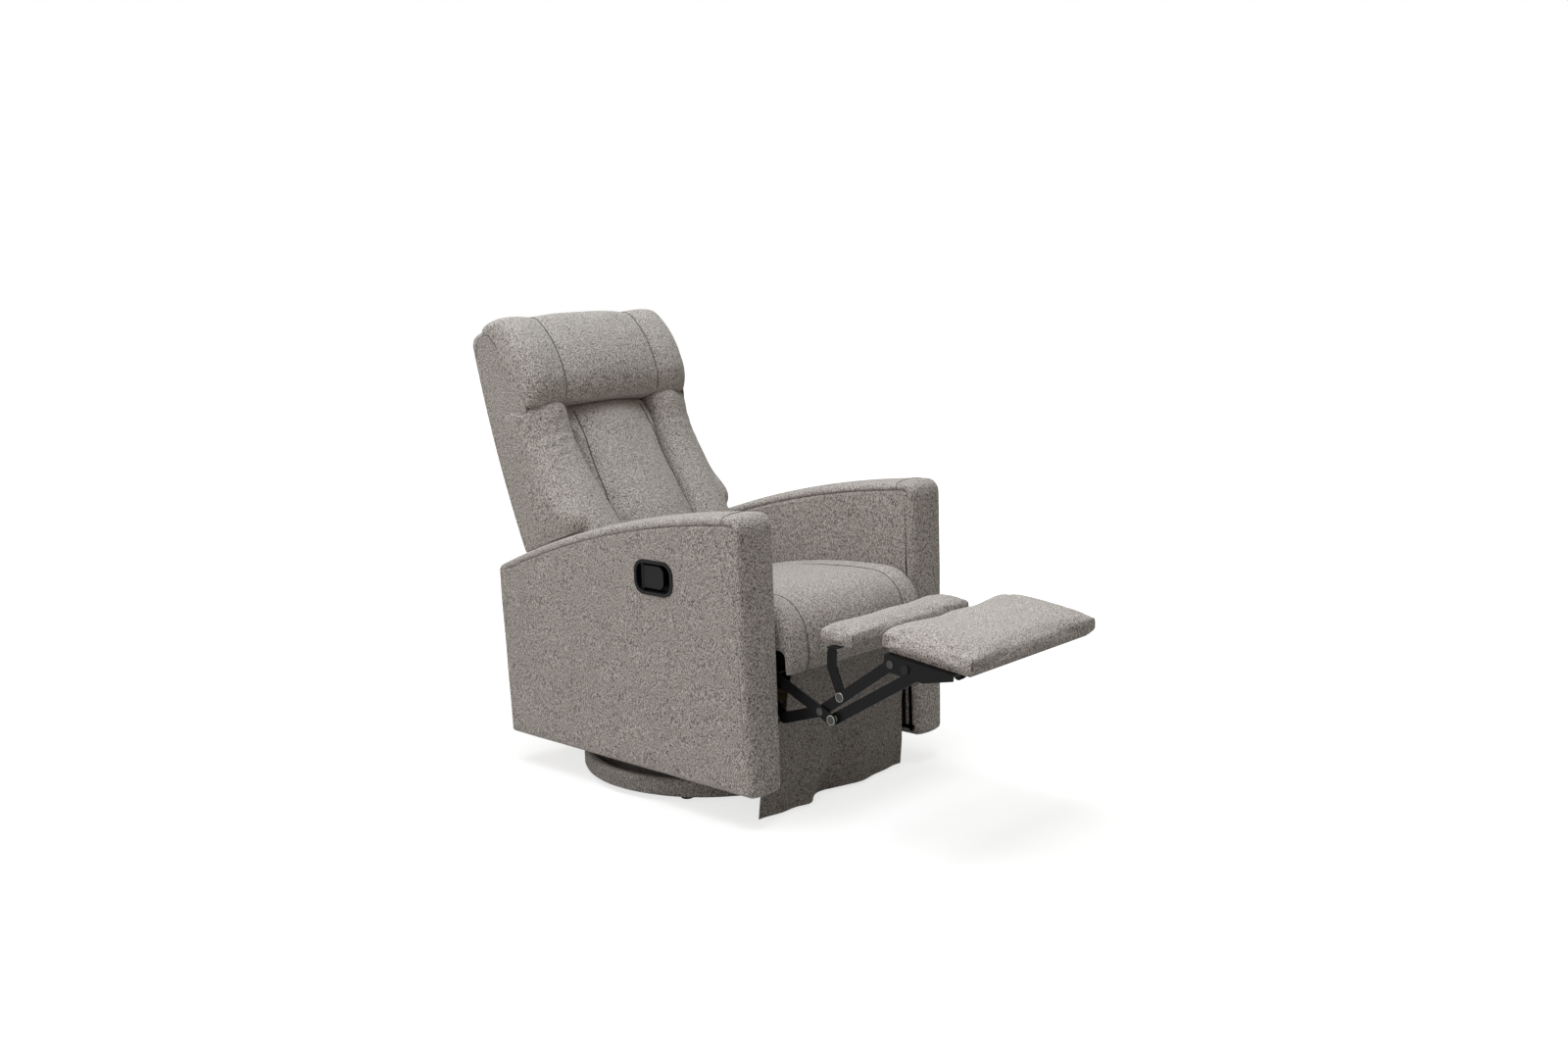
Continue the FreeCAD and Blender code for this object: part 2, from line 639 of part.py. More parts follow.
def make_lever():
    face = -WIDTH / 2
    flange = rounded_plate(CUP_LONG, CUP_TALL, CUP_CORNER, face - CUP_PROUD, face)
    hollow_long = CUP_LONG - 2 * CUP_FLANGE - 2 * CUP_WALL
    hollow_tall = CUP_TALL - 2 * CUP_FLANGE - 2 * CUP_WALL
    hollow = rounded_plate(hollow_long, hollow_tall, CUP_CORNER - CUP_FLANGE - CUP_WALL,
                           face - CUP_PROUD - 1, face + CUP_DEEP - CUP_WALL)
    cup = union([flange, cup_body()]).cut(hollow)
    pin_y, pin_x = lever_axis()
    cup_low = CUP_Z - CUP_TALL / 2 + CUP_FLANGE
    cup_high = CUP_Z + CUP_TALL / 2 - CUP_FLANGE
    boss_z = PADDLE_TALL / 2 + BALL_CLEAR
    bosses = []
    for z0, z1 in ((cup_low, CUP_Z - boss_z), (CUP_Z + boss_z, cup_high)):
        rear = CUP_Y + CUP_LONG / 2 - CUP_FLANGE
        block = box(pin_x - PADDLE_BARREL, face + CUP_DEEP, pin_y - PADDLE_BARREL, rear, z0, z1)
        bosses.append(block.common(cup_body()))
    cup = union([cup] + bosses)
    pin_half = PADDLE_TALL / 2 + LEVER_PIN_END
    pin = cyl_z(pin_x, pin_y, CUP_Z - pin_half, CUP_Z + pin_half, LEVER_PIN_RADIUS)
    nodes["lever_cup"] = cup.cut(pin)
    nodes["lever_pin"] = pin
    z0 = CUP_Z - PADDLE_TALL / 2
    z1 = CUP_Z + PADDLE_TALL / 2
    tip = pin_y - PADDLE_LONG
    blade = box(pin_x - PADDLE_THICK / 2, pin_x + PADDLE_THICK / 2, tip, pin_y, z0, z1)
    corners = [e for e in blade.Edges
               if e.BoundBox.XLength > PADDLE_THICK - 0.01 and e.BoundBox.YMax < tip + 1]
    blade = blade.makeFillet(PADDLE_TALL * 0.3, corners)
    barrel = cyl_z(pin_x, pin_y, z0, z1, PADDLE_BARREL)
    bore = cyl_z(pin_x, pin_y, z0 - 1, z1 + 1, LEVER_PIN_RADIUS + RUN_CLEAR)
    nodes["lever_paddle"] = union([blade, barrel]).cut(bore)
    floor = face + CUP_DEEP - CUP_WALL
    screws = []
    for y in (pin_y - PADDLE_LONG - 12, pin_y - PADDLE_LONG * 0.5):
        head = cyl_x(floor - 2, floor, y, CUP_Z - hollow_tall / 2 + 9, CUP_SCREW_RADIUS)
        screws.append(head)
    nodes["lever_cup_screws"] = Part.makeCompound(screws)


def lever_axis():
    """Lever hinge axis: its y and x."""
    y = CUP_Y + CUP_LONG / 2 - CUP_FLANGE - LEVER_PIN_BACK
    x = -WIDTH / 2 + PADDLE_BELOW + PADDLE_THICK / 2
    return y, x


BOARD_TOP = GLIDE_HEIGHT + BASE_BOARD_THICK
LOWER_TOP = BOARD_TOP + PLATE_THICK
BALL_Z = LOWER_TOP + BALL_RADIUS - BALL_SINK
UPPER_BOTTOM = BALL_Z + BALL_RADIUS - BALL_SINK
UPPER_TOP = UPPER_BOTTOM + PLATE_THICK
BED_TOP = UPPER_TOP + BED_THICK
AXLE_Z = BED_TOP + AXLE_RISE
ROCKER_RAIL_LOW = BED_TOP + ROCKER_RAIL_RISE
STRETCHER_LOW = ROCKER_RAIL_LOW + ROCKER_RAIL_TALL


def ring_of(count, radius, z, make):
    """Copies of a small solid round the swivel axis."""
    copies = []
    for i in range(count):
        a = 2 * math.pi * (i + 0.5) / count
        copies.append(make(radius * math.cos(a), SWIVEL_Y + radius * math.sin(a), z))
    return copies


def make_base():
    centre = V(0, SWIVEL_Y, 0)
    board = cyl_z(0, SWIVEL_Y, GLIDE_HEIGHT, BOARD_TOP, BASE_BOARD_RADIUS)
    board = board.cut(cyl_z(0, SWIVEL_Y, GLIDE_HEIGHT - 1, BOARD_TOP + 1, BOARD_HOLE_RADIUS))
    bolts = ring_of(PLATE_BOLT_COUNT, PLATE_BOLT_CIRCLE, GLIDE_HEIGHT + 4, bolt_solid)
    shanks = ring_of(PLATE_BOLT_COUNT, PLATE_BOLT_CIRCLE, GLIDE_HEIGHT + 4, bolt_shank)
    nodes["base_board"] = board.cut(Part.makeCompound(shanks))
    nodes["swivel_bolts"] = Part.makeCompound(bolts)
    top = BASE_BAND_TOP
    low = GLIDE_HEIGHT
    r0 = BASE_BOARD_RADIUS
    r1 = BASE_RADIUS
    k = BASE_BAND_ROUND
    belly = BASE_BELLY
    a = V(r0, 0, low)
    b = V(r1 - k - belly, 0, low)
    c = V(r1 - belly, 0, low + k)
    d = V(r1 - belly, 0, top - k)
    e = V(r1 - k - belly, 0, top)
    f = V(r0, 0, top)
    q = k * (1 - math.sqrt(0.5))
    section = Part.Wire([line(a, b), arc(b, V(r1 - belly - q, 0, low + q), c),
                         arc(c, V(r1, 0, (low + top) / 2), d),
                         arc(d, V(r1 - belly - q, 0, top - q), e), line(e, f), line(f, a)])
    band = Part.Face(section).revolve(V(0, 0, 0), V(0, 0, 1), 360)
    band.translate(centre)
    nodes["base_band"] = band
    nodes["floor_glides"] = Part.makeCompound(ring_of(GLIDE_COUNT, GLIDE_CIRCLE, 0, glide_solid))


def glide_solid(x, y, z):
    glide = cyl_z(x, y, z, z + GLIDE_HEIGHT, GLIDE_RADIUS)
    low = [e for e in glide.Edges if e.BoundBox.ZMax < z + 0.01]
    return glide.makeFillet(GLIDE_ROUND, low)


def bolt_shank(x, y, z):
    return cyl_z(x, y, z, LOWER_TOP, PLATE_BOLT_RADIUS)


def bolt_solid(x, y, z):
    head = cyl_z(x, y, LOWER_TOP, LOWER_TOP + 3, PLATE_BOLT_RADIUS * 1.8)
    return union([bolt_shank(x, y, z), head])


def ball_solid(x, y, z):
    return Part.makeSphere(BALL_RADIUS, V(x, y, z))


def make_swivel():
    groove = Part.makeTorus(BALL_CIRCLE, BALL_RADIUS + BALL_CLEAR, V(0, SWIVEL_Y, BALL_Z))
    lower = cyl_z(0, SWIVEL_Y, BOARD_TOP, LOWER_TOP, PLATE_RADIUS).cut(groove)
    lower = lower.cut(cyl_z(0, SWIVEL_Y, BOARD_TOP - 1, LOWER_TOP + 1, POST_RADIUS + RUN_CLEAR))
    shanks = ring_of(PLATE_BOLT_COUNT, PLATE_BOLT_CIRCLE, GLIDE_HEIGHT + 4, bolt_shank)
    nodes["swivel_lower_plate"] = lower.cut(Part.makeCompound(shanks))
    nodes["swivel_balls"] = Part.makeCompound(ring_of(BALL_COUNT, BALL_CIRCLE, BALL_Z, ball_solid))
    upper = cyl_z(0, SWIVEL_Y, UPPER_BOTTOM, UPPER_TOP, PLATE_RADIUS).cut(groove)
    nodes["swivel_upper_plate"] = upper
    flange_top = BOARD_TOP - BALL_CLEAR
    post = union([cyl_z(0, SWIVEL_Y, flange_top - 1, UPPER_BOTTOM, POST_RADIUS),
                  cyl_z(0, SWIVEL_Y, flange_top - POST_FLANGE_THICK, flange_top, POST_FLANGE_RADIUS)])
    nodes["swivel_post"] = post


def make_rocker():
    y0 = SWIVEL_Y
    nodes["rocker_bed_plate"] = box(-BED_HALF_X, BED_HALF_X, y0 - BED_HALF_Y, y0 + BED_HALF_Y,
                                    UPPER_TOP, BED_TOP)
    hole = cyl_x(0, BED_HALF_X, y0, AXLE_Z, AXLE_RADIUS)
    lug = box(LUG_IN, LUG_IN + LUG_THICK, y0 - LUG_HALF_Y, y0 + LUG_HALF_Y,
              BED_TOP, AXLE_Z + LUG_OVER_AXLE)
    nodes["axle_lugs"] = pair(lug.cut(hole))
    nodes["rocker_axle"] = cyl_x(-AXLE_HALF, AXLE_HALF, y0, AXLE_Z, AXLE_RADIUS)
    saddle_in = LUG_IN + LUG_THICK + SADDLE_GAP
    saddle_out = saddle_in + LUG_THICK
    saddle = box(saddle_in, saddle_out, y0 - LUG_HALF_Y, y0 + LUG_HALF_Y,
                 AXLE_Z - LUG_OVER_AXLE, STRETCHER_LOW)
    saddle = saddle.cut(cyl_x(0, BED_HALF_X, y0, AXLE_Z, AXLE_RADIUS + RUN_CLEAR))
    nodes["rocker_saddles"] = pair(saddle)
    rail_in = saddle_out
    front = y0 - SPRING_OUT_Y - SPRING_RADIUS - SPRING_WIRE - RAIL_PAST_SPRING
    rail = box(rail_in, rail_in + ROCKER_RAIL_THICK, front, REAR_STRETCHER_Y + STRETCHER_DEEP,
               ROCKER_RAIL_LOW, STRETCHER_LOW)
    nodes["rocker_rails"] = pair(rail)
    for name, y in (("front_stretcher", FRONT_STRETCHER_Y), ("rear_stretcher", REAR_STRETCHER_Y)):
        nodes[name] = box(-ARM_IN, ARM_IN, y, y + STRETCHER_DEEP,
                          STRETCHER_LOW, STRETCHER_LOW + STRETCHER_TALL)
    coils = []
    for y in (y0 - SPRING_OUT_Y, y0 + SPRING_OUT_Y):
        coil = coil_spring(BED_TOP + SEAT_CUP, ROCKER_RAIL_LOW - SEAT_CUP)
        coil.translate(V(rail_in + ROCKER_RAIL_THICK / 2, y, 0))
        coils.append(coil)
    nodes["rocker_springs"] = Part.makeCompound(coils + [mirror(c) for c in coils])


def coil_spring(z0, z1):
    """Upright coil spring about Z between two heights."""
    rise = z1 - z0 - 2 * SPRING_WIRE
    path = Part.makeHelix(rise / SPRING_TURNS, rise, SPRING_RADIUS)
    start = Part.Circle(V(SPRING_RADIUS, 0, 0), V(0, 1, 0), SPRING_WIRE).toShape()
    coil = Part.Wire(path.Edges).makePipeShell([Part.Wire(start)], True, True)
    coil.translate(V(0, 0, z0 + SPRING_WIRE))
    return coil


def seat_section(x, rise, draw):
    """Side outline of the seat cushion at one x: crowned top, waterfall front, lip over the rail."""
    front = SEAT_FRONT + draw
    top_f = SEAT_TOP_FRONT + rise
    top_r = SEAT_TOP_REAR + rise * 0.6
    lip_in = SEAT_FRONT + LIP_THICK
    k = SEAT_FRONT_ROUND
    q = k * (1 - math.sqrt(0.5))
    a = V(x, lip_in, SEAT_LIP_BOTTOM)
    b = V(x, front + 6, SEAT_LIP_BOTTOM)
    c = V(x, front, top_f - k)
    d = V(x, front + k, top_f)
    e = V(x, SEAT_REAR, top_r)
    f = V(x, SEAT_REAR, RAIL_TOP)
    g = V(x, lip_in, RAIL_TOP)
    face_mid = V(x, front - 3, (SEAT_LIP_BOTTOM + top_f - k) / 2)
    crown_mid = V(x, (front + k + SEAT_REAR) / 2, (top_f + top_r) / 2 + SEAT_CROWN)
    return Part.Wire([line(a, b), arc(b, face_mid, c), arc(c, V(x, front + q, top_f - q), d),
                      arc(d, crown_mid, e), line(e, f), line(f, g), line(g, a)])


def make_seat():
    side = ARM_IN - SEAT_SIDE_GAP
    seam = SEAT_SEAM_X
    half = [(side, -16.0, 8.0), (side - 14, -4.0, 1.5), ((side + seam) / 2, 0.0, 0.0),
            (seam, -SEAT_SEAM_DIP, SEAT_SEAM_DIP * 0.7), (seam - 34, 2.0, 0.0), (0.0, 6.0, -2.0)]
    stations = [(-x, r, d) for x, r, d in half] + [(x, r, d) for x, r, d in reversed(half[:-1])]
    wires = [seat_section(x, r, d) for x, r, d in stations]
    nodes["seat_cushion"] = Part.makeLoft(wires, True, False)
    rail_front = SEAT_FRONT + LIP_THICK + SKIRT_CLOTH + 1.0
    out = SIDE_RAIL_OUT
    nodes["seat_front_rail"] = box(-out, out, rail_front, rail_front + RAIL_THICK, RAIL_BOTTOM, RAIL_TOP)
    nodes["seat_rear_rail"] = box(-out, out, SEAT_REAR - RAIL_THICK, SEAT_REAR, RAIL_BOTTOM, RAIL_TOP)
    side_rail = box(out - RAIL_THICK, out, rail_front + RAIL_THICK, SEAT_REAR - RAIL_THICK,
                    RAIL_BOTTOM, RAIL_TOP)
    nodes["seat_side_rails"] = pair(side_rail)
    y0 = rail_front + RAIL_THICK + WIRE_RADIUS
    y1 = SEAT_REAR - RAIL_THICK - WIRE_RADIUS
    wires = []
    for i in range(WIRE_COUNT):
        x = (i - (WIRE_COUNT - 1) / 2) * WIRE_SPACING
        wires.append(wave_wire(x, y0, y1, RAIL_TOP - WIRE_RADIUS - 4))
    nodes["seat_springs"] = Part.makeCompound(wires)
    low = STRETCHER_LOW + STRETCHER_TALL
    nodes["seat_posts"] = pair(box(out - RAIL_THICK, out, FRONT_STRETCHER_Y,
                                   FRONT_STRETCHER_Y + STRETCHER_DEEP, low, RAIL_BOTTOM))
    nodes["rear_panel"] = box(-ARM_IN, ARM_IN, REAR_PANEL_Y, REAR_PANEL_Y + REAR_PANEL_THICK,
                              REAR_PANEL_LOW, REAR_PANEL_TOP)


def wave_wire(x, y0, y1, z):
    """Flat zigzag seat spring of half rounds joined by straight runs, from rail to rail."""
    step = (y1 - y0) / WIRE_LOOPS
    r = step / 2
    edges = []
    side = 1
    y = y0
    first = V(x, y0, z)
    last = first
    for i in range(WIRE_LOOPS):
        a = V(x + side * WIRE_SWING, y, z)
        edges.append(line(last, a))
        b = V(x + side * WIRE_SWING, y + step, z)
        edges.append(arc(a, V(x + side * (WIRE_SWING + r), y + r, z), b))
        last = b
        side = -side
        y += step
    edges.append(line(last, V(x, y1, z)))
    path = Part.Wire(edges)
    round_face = Part.Wire(Part.Circle(first, V(1, 0, 0), WIRE_RADIUS).toShape())
    return path.makePipeShell([round_face], True, False, 2)


def skirt_wire(z, x0, x1, y_mid, wave):
    """Thin wavy strip in plan at one height, front side and rear side of shallow arcs."""
    n = SKIRT_WAVES
    fronts = [V(x0 + (x1 - x0) * i / n, y_mid, z) for i in range(n + 1)]
    edges = []
    for i in range(n):
        a = fronts[i]
        b = fronts[i + 1]
        bow = wave if i % 2 == 0 else -wave
        edges.append(arc(a, V((a.x + b.x) / 2, y_mid - bow - 0.2, z), b))
    shift = V(0, SKIRT_CLOTH, 0)
    edges.append(line(fronts[n], fronts[n] + shift))
    for i in reversed(range(n)):
        a = fronts[i + 1] + shift
        b = fronts[i] + shift
        bow = wave if i % 2 == 0 else -wave
        edges.append(arc(a, V((a.x + b.x) / 2, y_mid + SKIRT_CLOTH - bow - 0.2, z), b))
    edges.append(line(fronts[0] + shift, fronts[0]))
    return Part.Wire(edges)


def make_skirt():
    y_top = SEAT_FRONT + LIP_THICK + 0.7
    half = SKIRT_HALF
    mid_z = (SEAT_LIP_BOTTOM + SKIRT_FREE_Z) / 2
    wires = [skirt_wire(RAIL_TOP - SKIRT_TUCK, -half, half, y_top, 0.0),
             skirt_wire(SEAT_LIP_BOTTOM, -half, half, y_top, 0.0),
             skirt_wire(mid_z, -half, half, y_top + SKIRT_SETBACK * 0.85, SKIRT_WAVE * 0.3),
             skirt_wire(SKIRT_FREE_Z, -half, half, y_top + SKIRT_SETBACK, SKIRT_WAVE * 0.7),
             skirt_wire(SKIRT_HEM_Z, -half - SKIRT_FLARE_LEFT, half + SKIRT_FLARE_RIGHT,
                        y_top + SKIRT_HEM_BACK, SKIRT_WAVE)]
    nodes["front_skirt"] = Part.makeLoft(wires, True, True)


# Back pieces are drawn with x across, y = n reversed and z = w, then leaned and moved

def lean(shape):
    """Moves a back piece from its own frame to its place on the chair."""
    shape.rotate(V(0, 0, 0), V(1, 0, 0), -BACK_LEAN)
    shape.translate(V(0, BACK_Y, BACK_Z))
    return shape


def back_box(x0, x1, n0, n1, w0, w1):
    return box(x0, x1, -n1, -n0, w0, w1)


def back_front(w):
    """How far the side channels stand out at a height along the back."""
    for i in range(len(CHANNEL_W) - 1):
        if w <= CHANNEL_W[i + 1]:
            share = (w - CHANNEL_W[i]) / (CHANNEL_W[i + 1] - CHANNEL_W[i])
            return CHANNEL_FRONT[i] + (CHANNEL_FRONT[i + 1] - CHANNEL_FRONT[i]) * share
    return CHANNEL_FRONT[-1]


def seam_x(w):
    """Half width of the middle channel at a height along the back."""
    share = (w - CHANNEL_W[2]) / (CHANNEL_W[-1] - CHANNEL_W[2])
    return ARM_IN - MIDDLE_IN_LOW + (MIDDLE_IN_LOW - MIDDLE_IN_TOP) * share


def channel_section(w, x0, x1, edge0, edge1, crown):
    """Closed plan outline of one channel at a height: flat rear, crowned front."""
    n0 = BACK_COVER_FRONT
    a = V(x0, -n0, w)
    b = V(x0, -edge0, w)
    c = V(x1, -edge1, w)
    d = V(x1, -n0, w)
    mid = V((x0 + x1) / 2, -crown, w)
    return Part.Wire([line(a, b), arc(b, mid, c), line(c, d), line(d, a)])


def channel(stations):
    return Part.makeLoft([channel_section(*s) for s in stations], True, False)


def make_back_channels():
    foot = BACK_PAD_FOOT
    top = HEAD_FOOT - BACK_SEAM_GAP
    ends = ((foot, CHANNEL_FOOT_ROUND), (foot + CHANNEL_FOOT_ROUND, CHANNEL_FOOT_ROUND * 0.2))
    tops = ((top - 2 * CHANNEL_TOP_ROUND, 0.0), (top - CHANNEL_TOP_ROUND / 2, CHANNEL_TOP_ROUND * 0.25),
            (top, CHANNEL_TOP_ROUND))
    levels = ends + tuple((w, 0.0) for w in CHANNEL_W[1:7]) + tops
    middle = []
    side = []
    for w, short in levels:
        x = seam_x(w)
        f = back_front(w) - short
        fall = f - CHANNEL_FALL
        middle.append((w, BACK_SEAM_GAP - x, x - BACK_SEAM_GAP, fall, fall, f + CHANNEL_CROWN / 2))
        side.append((w, x, BACK_NARROW_HALF, fall, f - WING_JOIN_FALL, f + CHANNEL_CROWN))
    nodes["back_middle_channel"] = lean(channel(middle))
    wing = []
    wing_levels = ((WING_FOOT, CHANNEL_TOP_ROUND * 0.6, 0.0), (WING_FOOT + CHANNEL_TOP_ROUND / 2, 0.0, 0.4))
    wing_levels += tuple((w, 0.0, 1.0) for w in CHANNEL_W[4:7])
    wing_levels += tuple((w, short, 1.0 - short / CHANNEL_TOP_ROUND) for w, short in tops)
    for w, short, swell in wing_levels:
        f = back_front(w) - short
        wing.append((w, BACK_NARROW_HALF - WING_LAP, BACK_WIDE_HALF + WING_SWELL * swell,
                     f - WING_JOIN_FALL, f - WING_FALL, f - WING_MID_FALL))
    nodes["back_side_channel_left"] = lean(union([channel(side), channel(wing)]))
    nodes["back_side_channel_right"] = mirror(nodes["back_side_channel_left"])


def head_section(x, draw, dip):
    """Outline of the headrest pillow at one x: full front, round top, flat rear and foot."""
    n0 = BACK_COVER_FRONT
    w0 = HEAD_FOOT
    w1 = HEAD_TOP - draw * 0.4 - dip * 0.6
    f = HEAD_FRONT - draw - dip
    a = V(x, -n0, w0)
    b = V(x, -(f - 30), w0)
    c = V(x, -f, w0 + 80)
    d = V(x, -(f - 46), w1 - 12)
    e = V(x, -n0, w1)
    return Part.Wire([line(a, b), arc(b, V(x, -(f - 6), w0 + 34), c),
                      arc(c, V(x, -(f - 13), w0 + 158), d),
                      arc(d, V(x, -(f - 46 + n0) / 2, w1 + 5), e), line(e, a)])


def make_headrest():
    seam = HEAD_SEAM_X
    half = [(HEAD_HALF, 40.0, 0.0), (HEAD_HALF - 10, 18.0, 0.0), (HEAD_HALF - 40, 2.0, 0.0),
            (seam + 40, 0.0, 0.0), (seam, 0.0, HEAD_SEAM_DIP), (seam - 40, 0.0, 0.0), (0.0, 0.0, -3.0)]
    stations = [(-x, a, b) for x, a, b in half] + list(reversed(half[:-1]))
    pillow = Part.makeLoft([head_section(*s) for s in stations], True, False)
    nodes["headrest_pillow"] = lean(pillow)


def make_back_cover():
    n0 = BACK_COVER_FRONT
    top = BACK_COVER_TOP
    foot = BACK_COVER_FOOT
    a = V(0, -n0, foot)
    b = V(0, BACK_REAR_FOOT, foot)
    c = V(0, BACK_REAR_TOP, top)
    d = V(0, -n0, top)
    edges = [line(a, b), arc(b, V(0, BACK_REAR_BELLY, BACK_BELLY_W), c), line(c, d), line(d, a)]
    block = prism_x(edges, -BACK_WIDE_HALF, BACK_WIDE_HALF)
    top_edge = [e for e in cross_edges(block, top - 1) if e.BoundBox.YMin > 0]
    block = block.makeFillet(BACK_TOP_ROUND, top_edge)
    rear = [e for e in block.Edges if e.BoundBox.XLength < 0.01 and e.BoundBox.YMax > -n0 + 1
            and e.BoundBox.ZMax > foot + 1]
    block = block.makeFillet(BACK_EDGE_ROUND, rear)
    for x0, x1 in ((-BACK_WIDE_HALF - 1, -BACK_NARROW_HALF), (BACK_NARROW_HALF, BACK_WIDE_HALF + 1)):
        block = block.cut(box(x0, x1, -n0 - 1, 2 * BACK_REAR_BELLY, foot - 1, WING_FOOT))
    hollow = back_box(-BACK_POST_OUT, BACK_POST_OUT, BACK_FRAME_REAR, n0 + 1, foot - 1, BACK_POST_TOP)
    nodes["back_rear_cover"] = lean(block.cut(hollow))


def make_back_frame():
    out = BACK_POST_OUT
    inner = out - BACK_POST_THICK
    post = back_box(inner, out, BACK_FRAME_REAR, BACK_FRAME_FRONT, -POST_BELOW, BACK_POST_TOP)
    pin_hole = cyl_x(0, ARM_IN, 0, 0, BACK_PIN_RADIUS)
    nodes["back_posts"] = pair(lean(post.cut(pin_hole)))
    rails = []
    for w in (BACK_COVER_FOOT + FOOT_RAIL_UP, MID_RAIL_W, BACK_POST_TOP - BACK_RAIL_TALL):
        rails.append(lean(back_box(-inner, inner, BACK_FRAME_REAR, BACK_FRAME_FRONT, w, w + BACK_RAIL_TALL)))
    nodes["back_cross_rails"] = Part.makeCompound(rails)
    straps = []
    for i in range(WEB_COUNT):
        w = STRAP_FIRST + i * (BACK_POST_TOP - STRAP_LAST_DROP - STRAP_FIRST) / (WEB_COUNT - 1)
        straps.append(lean(back_box(-out, out, BACK_FRAME_FRONT, BACK_COVER_FRONT, w, w + WEB_WIDE)))
    nodes["back_webbing"] = Part.makeCompound(straps)
    plate_out = ARM_IN
    plate_in = plate_out - PLATE_STEEL
    front = BACK_Y - HINGE_PLATE_HALF
    rear = BACK_Y + HINGE_PLATE_HALF
    high = BACK_Z + HINGE_PLATE_UP
    low = BACK_Z - HINGE_PLATE_DOWN
    plate = prism_x(outline([(front, high), (rear, high), (rear, low), (front, low)]), plate_in, plate_out)
    hole = cyl_x(0, ARM_IN, BACK_Y, BACK_Z, BACK_PIN_RADIUS + RUN_CLEAR)
    nodes["back_hinge_plates"] = pair(plate.cut(hole))
    nodes["back_pivot_pins"] = pair(cyl_x(inner, plate_out, BACK_Y, BACK_Z, BACK_PIN_RADIUS))


make_base()
make_swivel()
make_rocker()
make_arms()
make_lever()
make_seat()
make_skirt()
make_mechanism_plates()
make_rear_links()
make_front_links()
make_top_links()
make_control_links()
make_footrest()
make_flip_pad()
make_back_channels()
make_headrest()
make_back_cover()
make_back_frame()

# The origin is put on the floor under the middle of the plan box
boxes = [shape.optimalBoundingBox(False, False) for shape in nodes.values()]
SHIFT_Y = -(min(b.YMin for b in boxes) + max(b.YMax for b in boxes)) / 2
for name, shape in nodes.items():
    shape.translate(V(0, SHIFT_Y, 0))
    shape.exportStep("parts/" + name + ".step")

print("nodes", len(nodes), "shift_y", round(SHIFT_Y, 4))
whole_y = max(b.YMax for b in boxes) - min(b.YMin for b in boxes)
print("size", round(max(b.XMax for b in boxes) - min(b.XMin for b in boxes), 3), round(whole_y, 3),
      round(max(b.ZMax for b in boxes) - min(b.ZMin for b in boxes), 3))
for name, point in (("rear", P_REAR), ("cross", CROSS), ("knee", KNEE), ("tail", TAIL), ("p_tail", P_TAIL),
                    ("o1", O1), ("o2", O2), ("flip", FLIP_PIVOT), ("back", (BACK_Y, BACK_Z)),
                    ("swivel", (SWIVEL_Y, LOWER_TOP)), ("axle", (SWIVEL_Y, AXLE_Z)),
                    ("lever", (lever_axis()[0], CUP_Z))):
    print("pivot", name, round(point[0] + SHIFT_Y, 4), round(point[1], 4))
print("lever_x", lever_axis()[1])
print("turns", round(REAR_TURN, 4), round(FRONT_TURN, 4), round(PAD_TURN, 4), round(TOP_TURN, 4),
      round(TAIL_TURN, 4), round(FLIP_TURN, 4))
print("loop_shut_error", round(span(KNEE_SHUT, O2_SHUT) - span(KNEE, O2), 3),
      round(span(P_TAIL, TAIL_SHUT) - span(P_TAIL, TAIL), 3))
for name, shape in nodes.items():
    b = shape.optimalBoundingBox(False, False)
    print("node", name, len(shape.Solids), shape.isValid(), round(shape.Volume / 1000.0, 2),
          [round(v, 1) for v in (b.XMin, b.XMax, b.YMin, b.YMax, b.ZMin, b.ZMax)])
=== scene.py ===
import json
import math

import bmesh
import bpy
import numpy as np
from bpy.props import FloatProperty, FloatVectorProperty, IntProperty, PointerProperty
from mathutils import Matrix, Vector
from mathutils.bvhtree import BVHTree


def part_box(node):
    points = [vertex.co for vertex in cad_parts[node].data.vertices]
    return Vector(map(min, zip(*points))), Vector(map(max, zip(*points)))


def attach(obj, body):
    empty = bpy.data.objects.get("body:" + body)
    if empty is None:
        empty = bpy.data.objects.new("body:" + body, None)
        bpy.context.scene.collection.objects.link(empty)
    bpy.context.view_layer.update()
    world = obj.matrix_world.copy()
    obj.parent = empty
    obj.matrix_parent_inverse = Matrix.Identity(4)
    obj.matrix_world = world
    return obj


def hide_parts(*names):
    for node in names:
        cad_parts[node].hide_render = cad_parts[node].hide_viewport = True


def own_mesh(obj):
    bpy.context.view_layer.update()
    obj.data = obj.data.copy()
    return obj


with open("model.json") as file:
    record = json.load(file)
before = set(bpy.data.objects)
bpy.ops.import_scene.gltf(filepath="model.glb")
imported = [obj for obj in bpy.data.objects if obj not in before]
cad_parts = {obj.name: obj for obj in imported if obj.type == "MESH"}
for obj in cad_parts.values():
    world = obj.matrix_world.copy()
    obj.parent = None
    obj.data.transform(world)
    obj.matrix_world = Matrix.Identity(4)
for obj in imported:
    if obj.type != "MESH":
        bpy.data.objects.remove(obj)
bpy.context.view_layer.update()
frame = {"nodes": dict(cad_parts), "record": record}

bl_info = {
    "name": "Recliner upholstery",
    "version": (1, 0, 0),
    "blender": (4, 5, 0),
    "location": "View3D > Sidebar > Recliner",
    "description": "Covers a swivel rocker recliner's frame with padded tweed and finishes its hardware",
    "category": "Object",
}

